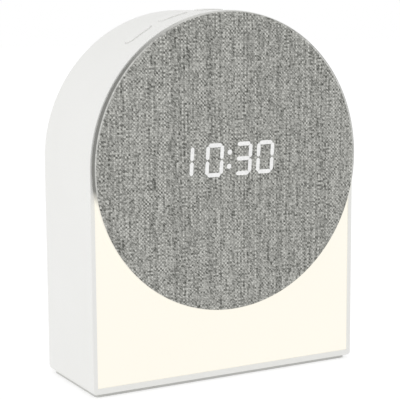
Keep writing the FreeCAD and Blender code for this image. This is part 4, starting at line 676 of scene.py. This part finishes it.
FLOOR_REACH = 6.0
FLOOR_DIFFUSE = "cfcfcf"
FLOOR_GLOW = 0.33            # light the sweep gives off by itself, as it is lit from below
FLOOR_WHITE = 0.17           # more of it where the camera sees it, so that the sweep is white
AMBIENT = 0.89


def seen_or_mirrored(tree):
    """1 for the camera's own rays and for what gloss or glass shows, else 0."""
    path = add(tree, "ShaderNodeLightPath").outputs
    first = calculate(tree, "MAXIMUM", path["Is Camera Ray"], path["Is Glossy Ray"])
    return calculate(tree, "MAXIMUM", first, path["Is Transmission Ray"])


def make_floor():
    """Matt white sweep of a light table: it reflects, so it keeps the shadow, and glows a little."""
    material, tree = new_material("paper_sweep")
    place = add(tree, "ShaderNodeTexCoord").outputs["Object"]
    paper = add(tree, "ShaderNodeBsdfDiffuse", {
        "Color": linear(FLOOR_DIFFUSE), "Normal": relief(tree, noise(tree, place, 2.0), 0.01),
    })
    white = (1.0, 1.0, 1.0, 1.0)
    strength = calculate(tree, "MULTIPLY_ADD", seen_or_mirrored(tree), FLOOR_WHITE, FLOOR_GLOW)
    glow = add(tree, "ShaderNodeEmission", {"Color": white, "Strength": strength})
    both = add(tree, "ShaderNodeAddShader", {0: paper.outputs[0], 1: glow.outputs[0]})
    add(tree, "ShaderNodeOutputMaterial", {"Surface": both.outputs[0]})
    points = FLOOR_REACH * np.array([(-1, -1, 0), (1, -1, 0), (1, 1, 0), (-1, 1, 0)], float)
    floor = make_object("sweep", points, [[0, 1, 2, 3]], material)


def make_world():
    """Even sky for the light, plain white where it is seen."""
    world = bpy.data.worlds.new("studio")
    world.use_nodes = True
    tree = world.node_tree
    tree.nodes.clear()
    sky = add(tree, "ShaderNodeBackground", {"Color": (1.0, 1.0, 1.0, 1.0), "Strength": AMBIENT})
    white = add(tree, "ShaderNodeBackground", {"Color": (1.0, 1.0, 1.0, 1.0), "Strength": 1.0})
    shares = {0: seen_or_mirrored(tree), 1: sky.outputs[0], 2: white.outputs[0]}
    mixed = add(tree, "ShaderNodeMixShader", shares)
    add(tree, "ShaderNodeOutputWorld", {"Surface": mixed.outputs[0]})
    bpy.context.scene.world = world


LAMPS = {  # name: (place, size, watts), in metres
    "key_softbox": ((-1.7, -0.5, 0.35), 1.2, 4.0),
}


def make_lamps():
    """Square softboxes that face the clock."""
    aim = Vector((0.0, 0.0, (case_low.z + case_high.z) / 2))
    for name, (place, size, watts) in LAMPS.items():
        light = bpy.data.lights.new(name, "AREA")
        light.size = size
        light.energy = watts
        lamp = bpy.data.objects.new(name, light)
        lamp.location = place
        lamp.rotation_mode = "QUATERNION"
        lamp.rotation_quaternion = (aim - Vector(place)).to_track_quat("-Z", "Y")
        bpy.context.scene.collection.objects.link(lamp)


# Camera, fitted to the case's outline in the photograph

AZIMUTH, ELEVATION, ROLL = (math.radians(angle) for angle in (-28.9553, 8.4542, -0.346))
DISTANCE = 0.7158
AIM_RIGHT, AIM_UP = -0.015585, 0.097162
FOCAL_PIXELS, PICTURE_PIXELS = 1282.78, 400.0
SENSOR_MM = 36.0


def make_camera():
    """Camera on a sphere about the foot of the case's front plane, moved sideways and up, then rolled."""
    back = Vector((
        math.sin(AZIMUTH) * math.cos(ELEVATION),
        -math.cos(AZIMUTH) * math.cos(ELEVATION),
        math.sin(ELEVATION),
    ))
    right = Vector((math.cos(AZIMUTH), math.sin(AZIMUTH), 0.0))
    up = back.cross(right)
    place = back * DISTANCE + right * AIM_RIGHT + up * AIM_UP + Vector((0.0, FRONT_PLANE, CASE_FOOT))
    rolled_right = right * math.cos(ROLL) + up * math.sin(ROLL)
    rolled_up = up * math.cos(ROLL) - right * math.sin(ROLL)
    data = bpy.data.cameras.new("camera")
    data.sensor_width = SENSOR_MM
    data.lens = SENSOR_MM * FOCAL_PIXELS / PICTURE_PIXELS
    camera = bpy.data.objects.new("camera", data)
    turn = Matrix((rolled_right, rolled_up, back)).transposed()
    camera.matrix_world = Matrix.Translation(place) @ turn.to_4x4()
    bpy.context.scene.collection.objects.link(camera)
    bpy.context.scene.camera = camera


finishes = finish_nodes()
make_disc_cloth(finishes["heathered_cloth"])
make_lit_digits(lit_cloth())
make_floor()
make_world()
make_lamps()
make_camera()
bpy.context.scene.view_settings.view_transform = "Standard"
